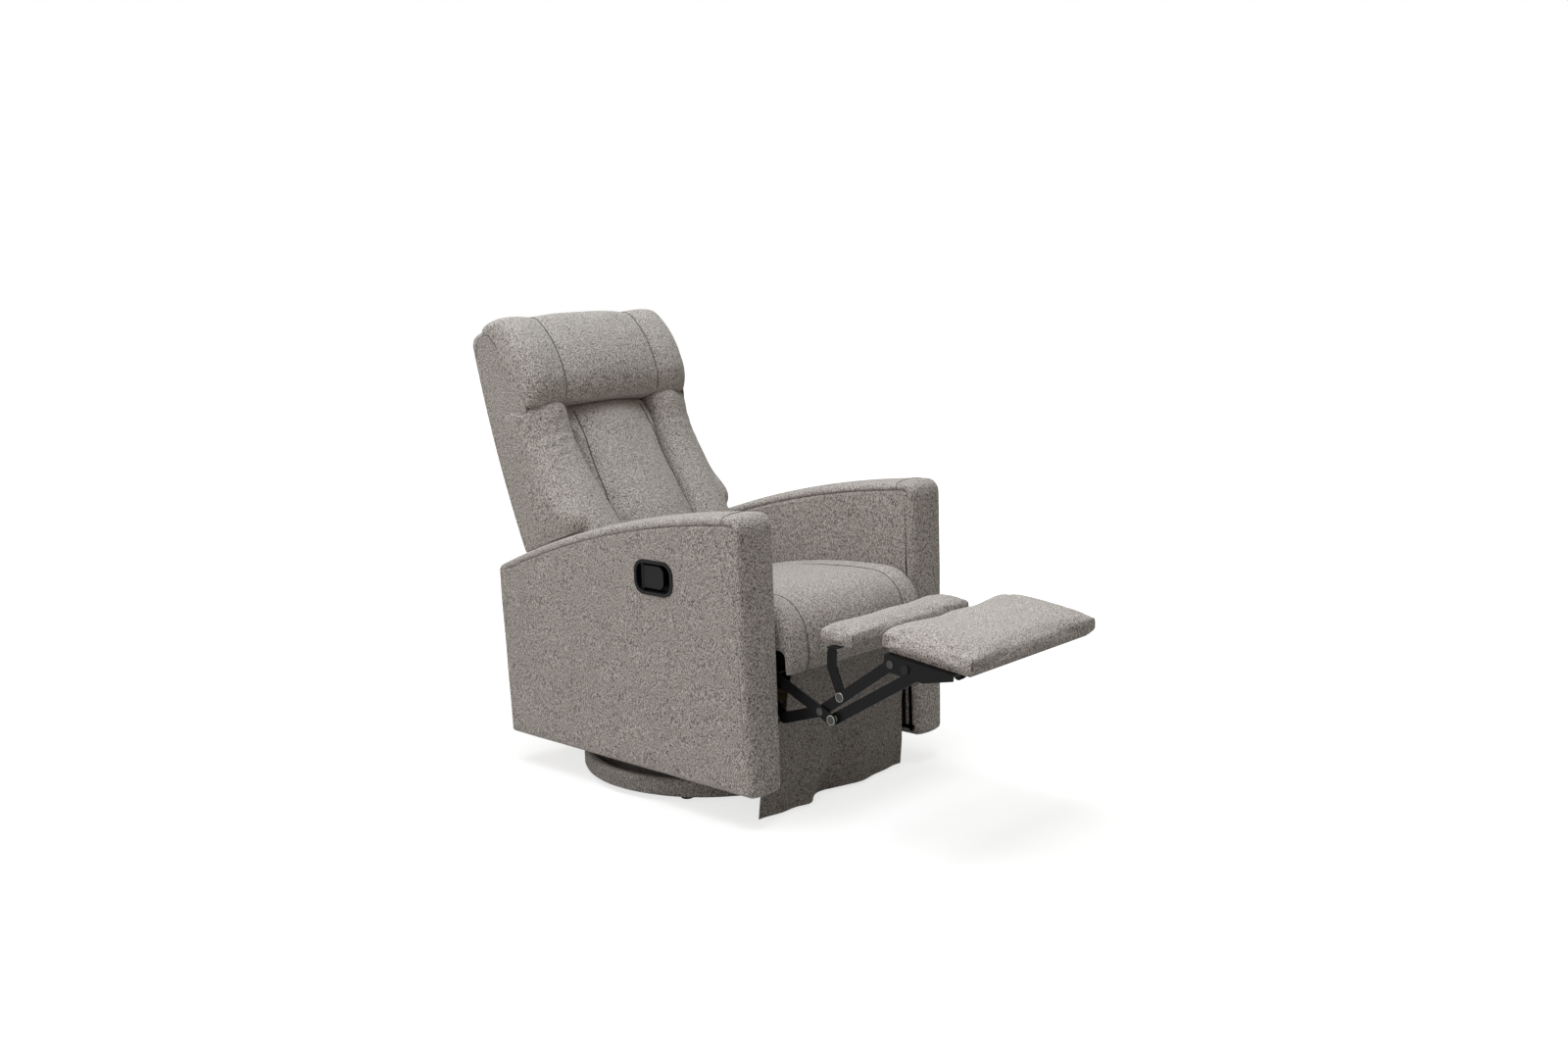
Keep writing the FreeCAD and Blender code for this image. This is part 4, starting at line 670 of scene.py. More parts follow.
def arm_form(name, sign):
    """Arm cover: a band carried round the side outline, whose profile is a seam groove, a round edge, a
    crowned top, a round edge and a groove, closed by a Coons panel on each side."""
    settings = bpy.context.scene.arm
    padding = bpy.context.scene.padding
    along, up = 120, 76
    loop = arm_loop(settings, along, up)
    count = len(loop)
    e = settings.edge_round
    hairline, calm = 0.0003, 0.03
    inside, outside = ARM_LOW.x + hairline, ARM_HIGH.x
    wide = outside - inside

    def shaped(points):
        """Draws the outer side in to the foot, and gives it a slow ripple that dies out at the cup."""
        share = (points[:, 0] - inside) / wide
        drop = np.clip((settings.taper_top - points[:, 2]) / (settings.taper_top - ARM_LOW.z), 0, 1)
        soft = ripple(points, height=0.0006, length=0.16, seed=7) * np.clip(share, 0, 1)
        if sign < 0:
            soft *= np.clip(cup_distance(points[:, 1], points[:, 2]) / calm, 0, 1)
        points[:, 0] += soft - settings.taper * drop * share
        points[:, 0] *= sign
        return points

    def stretch(first, last):
        """One between two points of the outline, and less towards both within five points of them."""
        at = np.arange(count)
        return np.clip(np.minimum(at - first, last - at) / 5.0, 0, 1)

    crest = stretch(up - 8, up + along - 4)
    sewn = np.maximum(crest, 0.45 * stretch(3, up + 2))
    groove = ((0.0120, 0.0), (0.0085, 0.12), (0.0060, 0.5), (0.0045, 1.0), (0.0030, 0.5), (0.0010, 0.1))
    seam_ring = 3
    rings = [(e + inset, 0.0, sink) for inset, sink in groove]
    turn = np.linspace(0, math.pi / 2, 9)
    rings += [(e * (1 - math.sin(a)), e * (1 - math.cos(a)), 0.0) for a in turn]
    edge = len(rings)
    flat = np.linspace(e, wide - e, 16)[1:-1]
    rings += [(-settings.crown * (1 - ((x - wide / 2) / (wide / 2 - e)) ** 2) ** 0.8, x, 0.0) for x in flat]
    rings += [(inset, wide - x, sink) for inset, x, sink in reversed(rings[:edge])]
    grid = np.empty((len(rings), count, 3))
    for k, (inset, across, sink) in enumerate(rings):
        deep = sink * sewn * padding.seam_depth * 0.55
        grid[k, :, 0] = inside + across + (deep if across < wide / 2 else -deep)
        grid[k, :, 1:] = loop[:, :2] - inset * loop[:, 2:]
    parts = [grid.reshape(-1, 3)]
    faces = [grid_faces(len(rings), count, False, True)]
    for outer, ring in enumerate((grid[0], grid[-1])):
        panel, quads = patch(ring, along, up).reshape(-1, 3), grid_faces(along, up)
        if outer and sign < 0:
            panel, quads = drawn_to_cup(panel, quads)
        faces.append(quads + sum(len(p) for p in parts))
        parts.append(panel)
    cover = mesh_object(name, shaped(np.concatenate(parts)), np.concatenate(faces))
    top = np.flatnonzero(crest > 0.5)
    seams = [tube(name + "_line", shaped(grid[k, top]), padding.thread)
             for k in (seam_ring, len(rings) - 1 - seam_ring)]
    across_top = grid[seam_ring:len(rings) - seam_ring, up + 5] * (sign, 1, 1) + (0, 0, 0.0004)
    seams.append(tube(name + "_line", across_top, padding.thread * 0.8))
    return weld(cover, 0.00008), joined(name + "_seams", seams)


class CHAIR_OT_arms(bpy.types.Operator):
    """Makes both arms with their seams, and the pocket for the release cup"""
    bl_idname = "recliner.arms"
    bl_label = "Arms"

    def execute(self, context):
        for side, sign in (("left", 1), ("right", -1)):
            cover, seams = arm_form("arm_cover_" + side, sign)
            if sign < 0:
                sink_pocket(cover)
            dress(cover, "fabric_cover", "chair", ("arm_pad_" + side,))
            dress(seams, "seam", "chair")
            line_and_shade_inside(cover)
        return {"FINISHED"}


def line_and_shade_inside(arm):
    """Black liner cloth on the faces of an arm that look into the chair below the seat; its black is also
    painted shade for the dark inside of the chair.
    """
    arm.data.materials.append(finishes()["liner_and_painted_shade"])
    middle = read(arm.data.polygons, "center", 3)
    skin, margin, front_band = 0.004, 0.02, 0.035
    hidden = ((np.abs(middle[:, 0]) < ARM_LOW.x + skin) & (middle[:, 2] < SEAT_LOW.z + margin)
              & (middle[:, 1] > ARM_LOW.y + front_band) & (middle[:, 2] > ARM_LOW.z + margin))
    arm.data.polygons.foreach_set("material_index", hidden.astype(np.int32))


def cup_distance(y, z):
    """Distance outside the pocket for the release cup: that of a rounded rectangle inside the cup's rim."""
    margin = 0.0026
    corner = 0.030 - margin
    away_y = np.abs(y - (CUP_HIGH.y + CUP_LOW.y) / 2) - ((CUP_HIGH.y - CUP_LOW.y) / 2 - margin - corner)
    away_z = np.abs(z - (CUP_HIGH.z + CUP_LOW.z) / 2) - ((CUP_HIGH.z - CUP_LOW.z) / 2 - margin - corner)
    outer = np.hypot(np.maximum(away_y, 0), np.maximum(away_z, 0))
    return outer + np.minimum(np.maximum(away_y, away_z), 0) - corner


def drawn_to_cup(panel, faces):
    """Panel whose points near the pocket's outline lie on it, and the faces that are left outside it. A
    point moves by its distance along the slope of the distance."""
    near, step, close = 0.005, 1e-5, 1e-4

    def pull(chosen):
        """Four moves bring the chosen points onto the outline."""
        for _ in range(4):
            y, z = panel[chosen, 1], panel[chosen, 2]
            far = cup_distance(y, z)
            slope_y = (cup_distance(y + step, z) - cup_distance(y - step, z)) / (2 * step)
            slope_z = (cup_distance(y, z + step) - cup_distance(y, z - step)) / (2 * step)
            panel[chosen, 1] -= far * slope_y
            panel[chosen, 2] -= far * slope_z

    pull(np.abs(cup_distance(panel[:, 1], panel[:, 2])) < near)
    far = cup_distance(panel[:, 1], panel[:, 2])[faces]
    mixed = (far.max(1) > close) & (far.min(1) < -close)
    inner = np.zeros(len(panel), bool)
    inner[faces[mixed][far[mixed] < -close]] = True
    pull(inner)
    far = cup_distance(panel[:, 1], panel[:, 2])[faces]
    return panel, faces[far.max(1) > close]


def sink_pocket(arm):
    """Carries the open edge of the arm's panel inwards, past the cup, and closes it with a floor."""
    past = 0.002
    bm = bmesh.new()
    bm.from_mesh(arm.data)
    rim = [edge for edge in bm.edges if edge.is_boundary]
    if len(rim) < 20:
        raise RuntimeError("the pocket for the release cup was not cut")
    made = bmesh.ops.extrude_edge_only(bm, edges=rim)["geom"]
    ring = [item for item in made if isinstance(item, bmesh.types.BMVert)]
    for point in ring:
        point.co.x = CUP_HIGH.x + past
    bmesh.ops.edgeloop_fill(bm, edges=[item for item in made if isinstance(item, bmesh.types.BMEdge)])
    bmesh.ops.recalc_face_normals(bm, faces=bm.faces)
    bm.to_mesh(arm.data)
    bm.free()
    arm.data.shade_smooth()
    arm.data.set_sharp_from_angle(angle=math.radians(60))


# Seat

class CHAIR_OT_seat(bpy.types.Operator):
    """Makes the seat cushion with a seam near each side, over its waterfall front"""
    bl_idname = "recliner.seat"
    bl_label = "Seat cushion"

    def execute(self, context):
        padding = context.scene.padding
        seam = 0.166
        obj = solid_copy("seat_cover", "seat_cushion", 0.006, 4)
        p, n = points_of(obj), normals_of(obj)
        away = np.abs(np.abs(p[:, 0]) - seam)
        shows = np.clip(np.maximum(n[:, 2], -n[:, 1]) * 2 - 0.4, 0, 1)
        press(obj, away, shows, padding.seam_depth * 0.6, padding.seam_width)
        # Held are the lower part behind the front, the rear, the sides, the foot and the stitches
        under = p[:, 2] < SEAT_LOW.z + 0.062
        held = ((under & (p[:, 1] > SEAT_LOW.y + 0.012)) | (p[:, 1] > SEAT_HIGH.y - 0.010)
                | (np.abs(p[:, 0]) > SEAT_HIGH.x - 0.006) | (p[:, 2] < SEAT_LOW.z + 0.008)
                | ((away < 0.004) & (shows > 0.3)))
        swell(obj, held, 0.010)
        subdivide(obj)
        bend = 0.092
        front, foot, top = SEAT_LOW.y, SEAT_LOW.z + 0.004, SEAT_HIGH.z - 0.012
        t = np.linspace(0, 1, 30)
        turn = np.linspace(0, math.pi / 2, 24)[1:]
        side = np.concatenate([
            np.stack([np.full(30, front + 0.004), foot + t * (top - bend - SEAT_LOW.z)], 1),
            np.stack([front + bend * (1 - np.cos(turn)), top - bend * (1 - np.sin(turn))], 1),
            np.stack([front + bend + t * (SEAT_HIGH.y - front - 0.10), top - t * 0.04], 1)[1:]])
        lines = []
        for x in (-seam, seam):
            laid = laid_path(obj, np.column_stack([np.full(len(side), x), side]), 0.0005)
            laid[:, 0] = x
            lines.append(tube("seat_line", laid, padding.thread))
        dress(obj, "fabric_cover", "chair", ("seat_cushion",))
        dress(joined("seat_cover_seams", lines), "seam", "chair")
        return {"FINISHED"}


# Back

LEAN = math.radians(20.0)


def back_place(points):
    """Height along the back and distance in front of its pivot line, for points of the chair."""
    dy = points[:, 1] - BACK_PIVOT[0]
    dz = points[:, 2] - BACK_PIVOT[1]
    return math.sin(LEAN) * dy + math.cos(LEAN) * dz, -math.cos(LEAN) * dy + math.sin(LEAN) * dz


def from_back(x, w, n):
    """Chair points from x, height along the back and distance in front of it."""
    y = BACK_PIVOT[0] + math.sin(LEAN) * w - math.cos(LEAN) * n
    z = BACK_PIVOT[1] + math.cos(LEAN) * w + math.sin(LEAN) * n
    return np.stack(np.broadcast_arrays(x, y, z), -1)


def back_front(w):
    """How far the side channels stand out at a height along the back."""
    return np.interp(w, [0.060, 0.150, 0.220, 0.270, 0.330, 0.389, 0.446, 0.502, 0.560],
                     [0.186, 0.194, 0.189, 0.176, 0.157, 0.139, 0.126, 0.120, 0.120])


def crease(middle, side, sign):
    """Bottom of the valley between two channels: at each height rays go in from the front at steps across,
    the outer of the two surfaces counts, and the deepest step is the valley."""
    trees = [surface(middle), surface(side)]
    into = Vector((0, math.cos(LEAN), -math.sin(LEAN)))
    ahead, reach, lift = 0.30, 0.5, 0.0006
    path = []
    for w in np.linspace(0.085, 0.553, 70):
        guess = sign * np.interp(w, [0.06, 0.56], [0.114, 0.092])
        deepest = None
        for x in guess + np.linspace(-0.016, 0.016, 17):
            hits = [tree.ray_cast(Vector(from_back(x, w, ahead)), into, reach)[3] for tree in trees]
            hits = [hit for hit in hits if hit is not None]
            if hits and (deepest is None or min(hits) > deepest[0]):
                deepest = (min(hits), x)
        if deepest is not None:
            path.append(from_back(deepest[1], w, ahead - deepest[0] + lift))
    return evened(np.array(path), 3)


def pucker(obj):
    """Draws shallow slanting wrinkles in a side channel near its sewn top: a sine of the height and of the
    distance out, gated by a bell of the height and by how far the face looks forward."""
    p, normal = points_of(obj), normals_of(obj)
    w, n = back_place(p)
    out = np.abs(p[:, 0])
    forward = np.clip(-normal[:, 1] * 1.6 - 0.3, 0, 1)
    height, spread, depth = 0.475, 0.050, 0.0014
    bell = np.exp(-((w - height) / spread) ** 2)
    wave = np.sin(2 * math.pi * (w * 27.0 + out * 17.0)) * np.sin(2 * math.pi * (w * 9.0 - out * 11.0) + 0.7)
    set_points(obj, p + normal * (depth * wave * bell * forward)[:, None])


class CHAIR_OT_channels(bpy.types.Operator):
    """Makes the three stuffed channels of the back, which meet the headrest at their tops"""
    bl_idname = "recliner.channels"
    bl_label = "Back channels"

    def execute(self, context):
        made = {}
        meet, blend, face, deep, rear = 0.495, 0.060, 0.06, 0.045, 0.05
        for place, rise, out in (("middle", 0.004, -0.018), ("left", 0.011, 0.006), ("right", 0.011, 0.006)):
            node_name = "back_middle_channel" if place == "middle" else "back_side_channel_" + place
            obj = solid_copy("channel_" + place, node_name, 0.006, 5)
            p = points_of(obj)
            w, n = back_place(p)
            near = smooth(np.clip((w - meet) / blend, 0, 1))
            p = from_back(p[:, 0], w + rise * near, n + out * near * (n > face))
            set_points(obj, p)
            w, n = back_place(p)
            held = (back_front(w) - n > deep) | (n < rear)
            swell(obj, held, 0.012)
            if place != "middle":
                pucker(obj)
            subdivide(obj)
            dress(obj, "fabric_cover", "back", (node_name,))
            made[place] = obj
        # The crease lines take the dark seam tweed: painted shade at the bottom of each valley between the
        # channels.
        lines = [tube("crease_line", crease(made["middle"], made[side], sign), 0.0016)
                 for sign, side in ((1, "left"), (-1, "right"))]
        dress(joined("channel_creases", lines), "seam", "back")
        return {"FINISHED"}


class CHAIR_OT_headrest(bpy.types.Operator):
    """Makes the headrest pillow with its two upright seams"""
    bl_idname = "recliner.headrest"
    bl_label = "Headrest pillow"

    def execute(self, context):
        padding = context.scene.padding
        seam, stitch, rear, foot = 0.150, 0.004, 0.03, 0.574
        obj = solid_copy("headrest_cover", "headrest_pillow", 0.0055, 4)
        p = points_of(obj)
        turned = BACK_HALF - 0.035
        over = np.maximum(np.abs(p[:, 0]) - turned, 0)
        p[:, 0] -= np.sign(p[:, 0]) * over * (HEAD_HALF - BACK_HALF) / (HEAD_HALF - turned)
        set_points(obj, p)
        w, n = back_place(p)
        away = np.abs(np.abs(p[:, 0]) - seam)
        front = n > rear
        press(obj, away, front.astype(float), padding.seam_depth * 0.5, padding.seam_width)
        held = (n < rear) | (w < foot) | ((away < stitch) & front)
        swell(obj, held, 0.012)
        subdivide(obj)
        turn = np.linspace(math.radians(-80), math.radians(120), 70)
        lines = []
        for x in (-seam, seam):
            ring = from_back(x, 0.690 + 0.13 * np.sin(turn), 0.05 + 0.11 * np.cos(turn))
            laid = laid_path(obj, ring, 0.0007)
            laid[:, 0] = x
            lines.append(tube("headrest_line", laid, padding.thread))
        dress(obj, "fabric_cover", "back", ("headrest_pillow",))
        dress(joined("headrest_seams", lines), "seam", "back")
        return {"FINISHED"}


def gusset_top(s, height):
    """Rounded top of the back's side, from its rear at s 0 to its front at s 1."""
    return height - 0.050 * np.abs(2 * s - 1) ** 3


def side_panel(sign):
    """Side panel of the back: one cloth face over the sides of the rear cover, channels and headrest. Its
    border runs from the foot of the wing to a rounded top; the face stands 2.5 mm out and dives under the
    neighbours within 14 mm of its border, by a smooth step of the distance to the border."""
    across, tall = 60, 190
    foot, height = 0.2425, 0.786
    proud, dive, border_width, base = 0.0025, 0.0050, 0.014, 0.007
    s = np.linspace(0, 1, across)[None, :]
    t = np.linspace(0, 1, tall)[:, None]
    top = gusset_top(s, height)
    w = foot + t * (top - foot)
    rear = -0.024 - 0.026 * (1 - ((w - 0.40) / 0.39) ** 2)
    ahead = 0.104 - 0.055 * np.clip((w - 0.66) / 0.13, 0, 1) ** 2.0
    share = smooth(np.clip((w - 0.47) / 0.13, 0, 1))
    front = (back_front(w) - 0.046) * (1 - share) + ahead * share
    n = rear + s * (front - rear)
    border = np.minimum(np.minimum(s, 1 - s) * (front - rear), np.minimum(w - foot + 0.010, top - w))
    lift = (proud + dive) * smooth(np.clip(border / border_width, 0, 1)) - dive
    outer = from_back(sign * (BACK_HALF + lift), w, n)
    inner = from_back(sign * (BACK_HALF - base) + 0.0 * w, w, n)
    points = np.concatenate([outer, inner]).reshape(-1, 3)
    rim = np.arange(across * tall).reshape(tall, across)
    rim = np.concatenate([rim[0], rim[1:, -1], rim[-1, -2::-1], rim[-2:0:-1, 0]])
    wall = np.stack([rim, np.roll(rim, -1), np.roll(rim, -1) + across * tall, rim + across * tall], 1)
    faces = np.concatenate([grid_faces(tall, across), grid_faces(tall, across, start=across * tall), wall])
    return weld(mesh_object("side_panel", points, faces))


class CHAIR_OT_back_cover(bpy.types.Operator):
    """Makes the padded rear and sides of the back"""
    bl_idname = "recliner.back_cover"
    bl_label = "Rear of the back"

    def execute(self, context):
        rear = solid_copy("back_rear", "back_rear_cover", 0.007, 3)
        obj = joined("back_cover", [rear, side_panel(-1), side_panel(1)])
        s = np.linspace(0.04, 0.97, 60)
        lines = []
        for sign in (-1, 1):
            path = from_back(sign * (BACK_HALF + 0.0012), gusset_top(s, 0.7765), -0.026 + 0.092 * s)
            lines.append(tube("gusset_line", laid_path(obj, path, 0.0004), context.scene.padding.thread))
        dress(joined("back_cover_seams", lines), "seam", "back")
        dress(obj, "fabric_cover", "back", ("back_rear_cover",))
        return {"FINISHED"}


# Footrest

class CHAIR_OT_footrest(bpy.types.Operator):
    """Makes the main footrest pad and the small flip pad"""
    bl_idname = "recliner.footrest"
    bl_label = "Footrest pads"

    def execute(self, context):
        thread = context.scene.padding.thread * 0.9
        for body in ("footrest", "flip"):
            node_name, name = body + "_pad", body + "_cover"
            obj = solid_copy(name, node_name, 0.004, 1)
            under = normals_of(obj)[:, 2] < -0.6
            swell(obj, under, 0.009)
            subdivide(obj)
            low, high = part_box(node_name)
            climb = np.linspace(low.z + 0.004, high.z - 0.007, 20)
            lines = []
            for x in (low.x, high.x):
                for y in (low.y, high.y):
                    corner = np.column_stack([np.full(20, x), np.full(20, y), climb])
                    lines.append(tube("corner_line", laid_path(obj, corner, 0.0006), thread))
            dress(obj, "fabric_cover", body, (node_name,))
            dress(joined(name + "_seams", lines), "seam", body)
        return {"FINISHED"}


# Skirt

class CHAIR_OT_skirt(bpy.types.Operator):
    """Makes the cloth that hangs in front of the base: a grid across and down, which hangs back below the
    seat, widens below the arms' feet, and folds by sine waves, a ridge and a dip that grow downwards"""
    bl_idname = "recliner.skirt"
    bl_label = "Front skirt"

    def execute(self, context):
        across, down = 150, 110
        widen_top, widen_tall, widen = 0.245, 0.045, 0.0225
        loose_top, flare_tall, edge_gap = 0.070, 0.012, 0.003
        u = np.linspace(0, 1, across)[None, :]
        v = np.linspace(0, 1, down)[:, None]
        top, hem = SKIRT_HIGH.z, SKIRT_LOW.z
        half = SKIRT_HIGH.x - edge_gap
        z = top + (hem - top) * v + 0.0 * u
        fall = np.clip((SEAT_LOW.z - z) / (SEAT_LOW.z - hem), 0, 1)
        free = np.clip((loose_top - z) / (loose_top - hem), 0, 1)
        edge = half + widen * smooth(np.clip((widen_top - z) / widen_tall, 0, 1))
        under = smooth(np.clip((ARM_LOW.z - edge_gap - z) / flare_tall, 0, 1))
        left = -edge + (SKIRT_LOW.x + edge) * under
        right = half + edge_gap * free
        x = left + (right - left) * u
        back = 0.030 * np.clip((SEAT_LOW.z - z) / 0.15, 0, 1) ** 0.8 + 0.008 * free
        ridge = np.exp(-((u - 0.30 - 0.10 * (1 - v)) / 0.055) ** 2)
        dip = np.exp(-((u - 0.46) / 0.10) ** 2)
        folds = (0.0050 * np.sin(2 * math.pi * (2.1 * u + 0.20 * v) + 0.6)
                 + 0.0018 * np.sin(2 * math.pi * (5.3 * u - 0.2 * v) + 2.0) - 0.010 * ridge + 0.018 * dip * v)
        y = SKIRT_LOW.y + 0.0012 + back + folds * fall ** 1.3
        obj = mesh_object("skirt_cloth", np.stack([x, y, z], -1).reshape(-1, 3), grid_faces(down, across))
        obj.data.shade_smooth()
        thick = obj.modifiers.new("cloth thickness", "SOLIDIFY")
        thick.thickness = 0.0022
        thick.offset = 0.0
        # The skirt takes the darker tweed: painted shade, as it hangs in shadow below the seat.
        dress(obj, "fabric_painted_shade", "chair", ("front_skirt",))
        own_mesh(obj)
        return {"FINISHED"}


# Base and rear panel

class CHAIR_OT_base_band(bpy.types.Operator):
    """Makes the cloth covered rim of the round base: a rounded profile carried round a circle that swells
    a little by two sine waves"""
    bl_idname = "recliner.base_band"
    bl_label = "Base rim"

    def execute(self, context):
        middle = (BAND_LOW + BAND_HIGH) / 2
        radius = (BAND_HIGH.x - BAND_LOW.x) / 2
        low, high = BAND_LOW.z, BAND_HIGH.z
        depth, top_round, foot_round = 0.020, 0.009, 0.004
        inner = radius - depth
        turn = np.linspace(0, math.pi / 2, 10)[1:]
        profile = np.concatenate([
            [[inner, low], [radius - foot_round, low]],
            np.stack([radius - foot_round * (1 - np.sin(turn)), low + foot_round * (1 - np.cos(turn))], 1),
            np.stack([np.full(8, radius), np.linspace(low + 0.006, high - top_round, 8)], 1),
            np.stack([radius - top_round * (1 - np.cos(turn)), high - top_round * (1 - np.sin(turn))], 1),
            [[inner + 0.004, high], [inner, high - 0.003], [inner, (low + high) / 2]]])
        around = np.linspace(0, 2 * math.pi, 360, endpoint=False)
        swellings = 1 + 0.0012 * np.sin(9 * around) + 0.0008 * np.sin(23 * around + 1)
        r = profile[None, :, 0] * np.where(profile[None, :, 0] > inner + 0.001, swellings[:, None], 1.0)
        points = np.stack([middle.x + r * np.cos(around)[:, None], middle.y + r * np.sin(around)[:, None],
                           np.broadcast_to(profile[None, :, 1], r.shape)], -1)
        faces = grid_faces(len(around), len(profile), True, True)
        obj = weld(mesh_object("base_cover", points.reshape(-1, 3), faces))
        # The rim takes the darker tweed: painted shade, as it lies in shadow under the chair.
        dress(obj, "fabric_painted_shade", "base", ("base_band",))
        return {"FINISHED"}


class CHAIR_OT_rear_panel(bpy.types.Operator):
    """Makes the covered panel between the arms at the rear"""
    bl_idname = "recliner.rear_panel"
    bl_label = "Rear panel"

    def execute(self, context):
        obj = solid_copy("rear_panel_cover", "rear_panel", 0.006, 2)
        subdivide(obj)
        dress(obj, "fabric_cover", "chair", ("rear_panel",))
        return {"FINISHED"}


# Hardware

class CHAIR_OT_hardware(bpy.types.Operator):
    """Gives the frame's own steel, wood, plastic and rubber parts their finishes"""
    bl_idname = "recliner.hardware"
    bl_label = "Hardware finishes"

    def execute(self, context):
        made = finishes()
        slots = {s["node"]: s["material_slot"] for s in frame["record"]["subparts"]}
        # The seat rails, posts and front stretcher take the black liner: partly a dust cover, partly painted
        # shade between the arms and under the seat.
        covered = {"liner_and_painted_shade": ("seat_front_rail", "seat_side_rails", "seat_posts", "front_stretcher"),
                   # The base board takes the darker tweed: painted shade under the chair.
                   "fabric_painted_shade": ("base_board",), "fabric_cover": ("footrest_board", "flip_board"),
                   "rivet": ("rear_link_rivets", "front_link_rivets", "footrest_rivets", "plate_pins")}
        special = {name: finish for finish, names in covered.items() for name in names}
        for name, obj in frame["nodes"].items():
            finish = made[special.get(name, slots[name])]
            if not obj.material_slots:
                obj.data.materials.append(finish)
            for place in obj.material_slots:
                place.material = finish
        self.coils(slots["rocker_springs"])
        self.rings("rear_link_rivets", "rear_link", "pale_plastic", 0.0098, 0.0009)
        self.rings("front_link_rivets", "front_link", "bright_steel", 0.0096, 0.0006)
        return {"FINISHED"}

    def rings(self, rivets, body, finish, radius, wire):
        """Thin ring round a link's lowest rivet on both sides: a tube along a circle on the rivet head."""
        low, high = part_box(rivets)
        head, inset = 0.0085, 0.0012
        turn = np.linspace(0, 2 * math.pi, 48, endpoint=False)
        y = low.y + head + radius * np.cos(turn)
        z = low.z + head + radius * np.sin(turn)
        both = [tube("ring", np.stack([np.full(48, x), y, z], 1), wire, closed=True)
                for x in (low.x + inset, high.x - inset)]
        dress(joined(body + "_rings", both), finish, body)

    def coils(self, slot):
        """Rocker springs as a copy of the frame's springs, with their finish, on the turntable."""
        coils = placed("rocker_coils", frame["nodes"]["rocker_springs"].data.copy())
        coils.data.materials.clear()
        coils.data.name = "rocker_coils"
        dress(coils, slot, "turntable", ("rocker_springs",))
        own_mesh(coils)


# Stage

class CHAIR_OT_stage(bpy.types.Operator):
    """Sets the camera, the lights and the plain pale floor"""
    bl_idname = "recliner.stage"
    bl_label = "Camera and light"

    def execute(self, context):
        settings = context.scene.stage
        context.scene.view_settings.view_transform = "Standard"
        context.scene.camera = self.camera(settings)
        middle, wide = (0, 0, 0.5), 180
        for name, place, aim, size, spread, power, tint in (
                ("overhead", (-0.4, 0.4, 3.4), middle, 2.4, wide, settings.key, (0.92, 1.0, 1.015)),
                ("lever side", (-3.4, 0.4, 1.1), middle, 2.0, wide, settings.side, (1.0, 0.965, 0.96)),
                ("footrest", (0.0, -0.75, 1.9), (0.0, -0.62, 0.4), 0.5, 55, settings.foot, (0.96, 1.0, 1.0))):
            lamp = bpy.data.lights.new(name, "AREA")
            lamp.shape = "SQUARE"
            lamp.size = size
            lamp.energy = power
            lamp.color = tint
            lamp.spread = math.radians(spread)
            turn = (Vector(place) - Vector(aim)).to_track_quat("Z", "Y").to_matrix().to_4x4()
            placed(name, lamp).matrix_world = Matrix.Translation(place) @ turn
        make_world(settings.fill)
        floor = mesh_object("floor", [(-14, -14, 0), (14, -14, 0), (14, 14, 0), (-14, 14, 0)], [(0, 1, 2, 3)])
        floor.data.materials.append(floor_material())
        return {"FINISHED"}

    def camera(self, settings):
        """Camera turned by its azimuth and pitch, and then rolled about its line of sight."""
        photo_width, sensor = 1600.0, 36.0
        data = bpy.data.cameras.new("camera")
        data.sensor_width = sensor
        data.lens = settings.focal / photo_width * sensor
        data.clip_end = 60.0
        back = np.array([math.sin(settings.azimuth) * math.cos(settings.pitch),
                         -math.cos(settings.azimuth) * math.cos(settings.pitch), math.sin(settings.pitch)])
        right = np.cross(-back, [0, 0, 1.0])
        right /= np.linalg.norm(right)
        up = np.cross(right, -back)
        c, s = math.cos(settings.roll), math.sin(settings.roll)
        right, up = c * right + s * up, -s * right + c * up
        turn = Matrix(np.stack([right, up, back], 1).tolist()).to_4x4()
        eye = placed("camera", data)
        eye.matrix_world = Matrix.Translation(settings.eye) @ turn
        return eye


def seen_ray(tree):
    """One where a ray comes from the camera, a mirror or clear material."""
    path = node(tree, "ShaderNodeLightPath", {}).outputs
    either = math_node(tree, "MAXIMUM", path["Is Camera Ray"], path["Is Glossy Ray"])
    return math_node(tree, "MAXIMUM", either, path["Is Transmission Ray"])


def make_world(fill):
    """Even warm light from all round, which is seen as white."""
    warm, white = (1.06, 1.0, 0.88, 1), (1, 1, 1, 1)
    world = bpy.data.worlds.new("studio")
    world.use_nodes = True
    bpy.context.scene.world = world
    tree = world.node_tree
    seen = seen_ray(tree)
    feed(tree, tree.nodes["Background"], {"Color": mix_colour(tree, seen, warm, white),
                                          "Strength": line(tree, seen, 1.0 - fill, fill)})


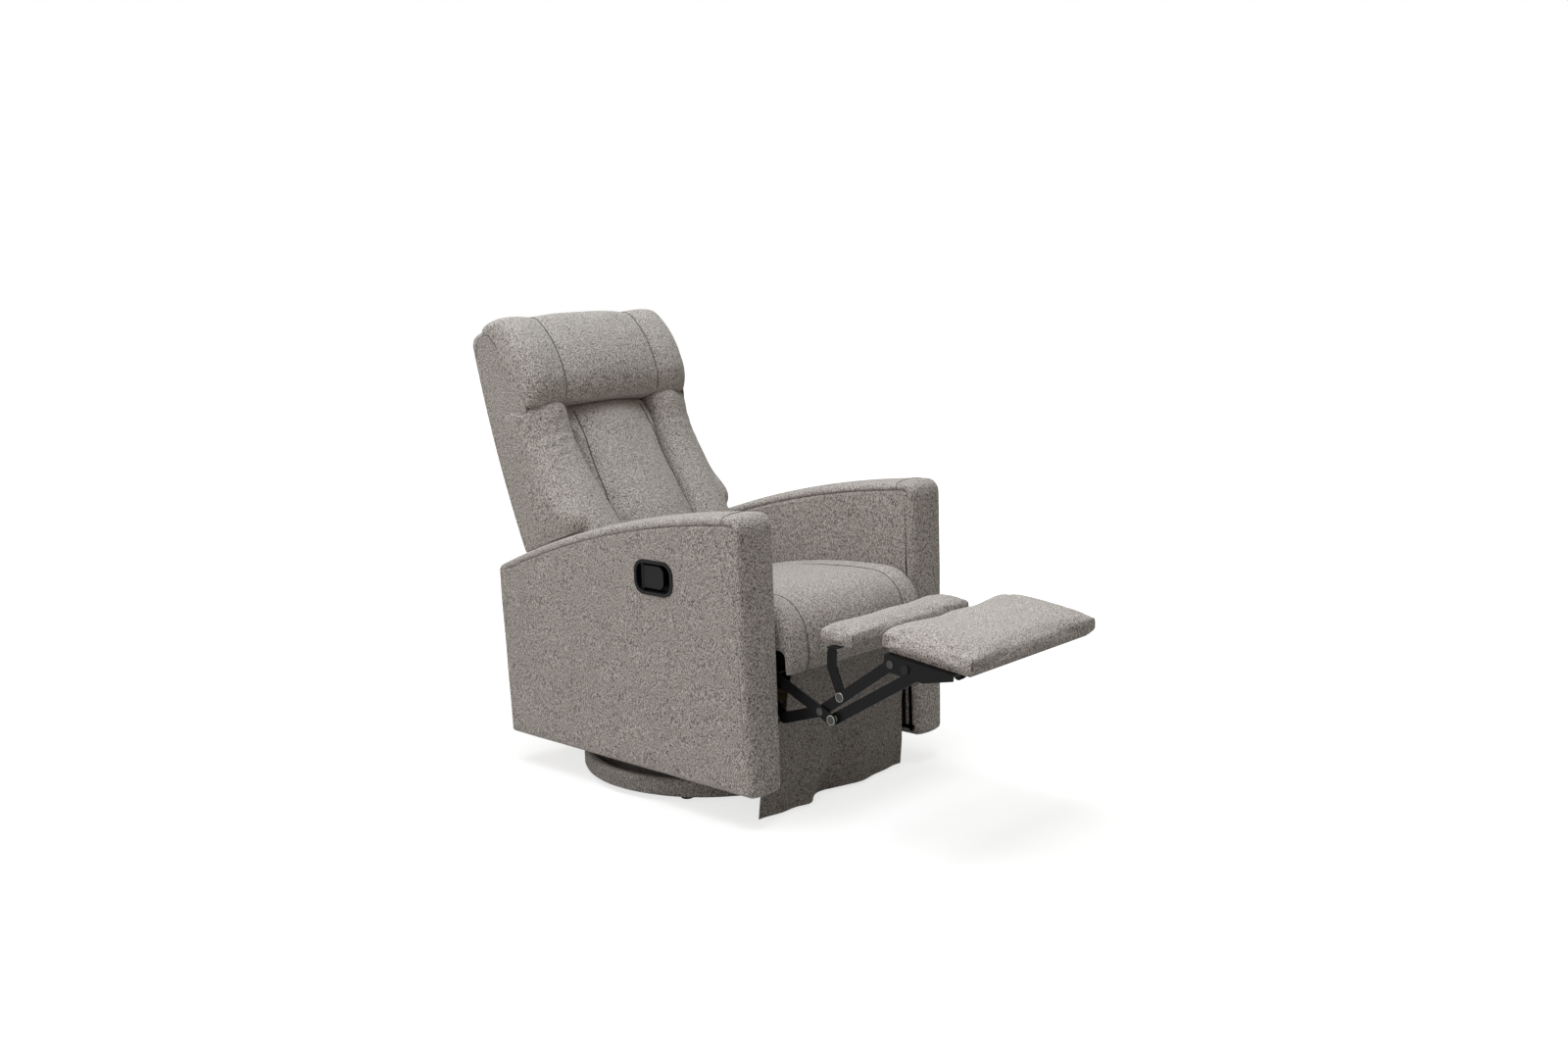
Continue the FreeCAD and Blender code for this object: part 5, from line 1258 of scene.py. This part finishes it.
def floor_material():
    """Pale floor that keeps shadows: a matt surface, with a glow that only seen rays get and that grows
    with the distance from the chair."""
    mat, tree, shader, place = new_material("pale floor")
    away = node(tree, "ShaderNodeVectorMath", {0: place}, operation="LENGTH").outputs["Value"]
    far = math_node(tree, "MULTIPLY", math_node(tree, "SUBTRACT", away, 0.9), 0.7, clamp=True)
    glow = math_node(tree, "MULTIPLY", seen_ray(tree), line(tree, far, 0.30, 0.72))
    feed(tree, shader, {"Base Color": (0.50, 0.50, 0.50, 1), "Roughness": 0.9, "Specular IOR Level": 0.1,
                        "Emission Color": (1, 1, 1, 1), "Emission Strength": glow})
    return mat


class CHAIR_PT_panel(bpy.types.Panel):
    """Lists the steps in the sidebar."""
    bl_idname = "CHAIR_PT_panel"
    bl_label = "Recliner"
    bl_space_type = "VIEW_3D"
    bl_region_type = "UI"
    bl_category = "Recliner"

    def draw(self, context):
        for operator in OPERATORS:
            self.layout.operator(operator.bl_idname)


SETTINGS = (("tweed", TweedSettings), ("padding", PaddingSettings), ("arm", ArmSettings),
            ("stage", StageSettings))
OPERATORS = (CHAIR_OT_hardware, CHAIR_OT_arms, CHAIR_OT_seat, CHAIR_OT_channels, CHAIR_OT_headrest,
             CHAIR_OT_back_cover, CHAIR_OT_footrest, CHAIR_OT_skirt, CHAIR_OT_base_band,
             CHAIR_OT_rear_panel, CHAIR_OT_stage)


def register():
    """Registers the settings, the steps and the panel."""
    for name, group in SETTINGS:
        bpy.utils.register_class(group)
        setattr(bpy.types.Scene, name, PointerProperty(type=group))
    for operator in OPERATORS:
        bpy.utils.register_class(operator)
    bpy.utils.register_class(CHAIR_PT_panel)


def unregister():
    """Takes them out again, in the reverse order."""
    bpy.utils.unregister_class(CHAIR_PT_panel)
    for operator in reversed(OPERATORS):
        bpy.utils.unregister_class(operator)
    for name, group in reversed(SETTINGS):
        delattr(bpy.types.Scene, name)
        bpy.utils.unregister_class(group)


def main():
    """Runs the steps in order."""
    register()
    for operator in OPERATORS:
        step = operator.bl_idname.split(".")[1]
        getattr(bpy.ops.recliner, step)()


if __name__ == "__main__":
    main()
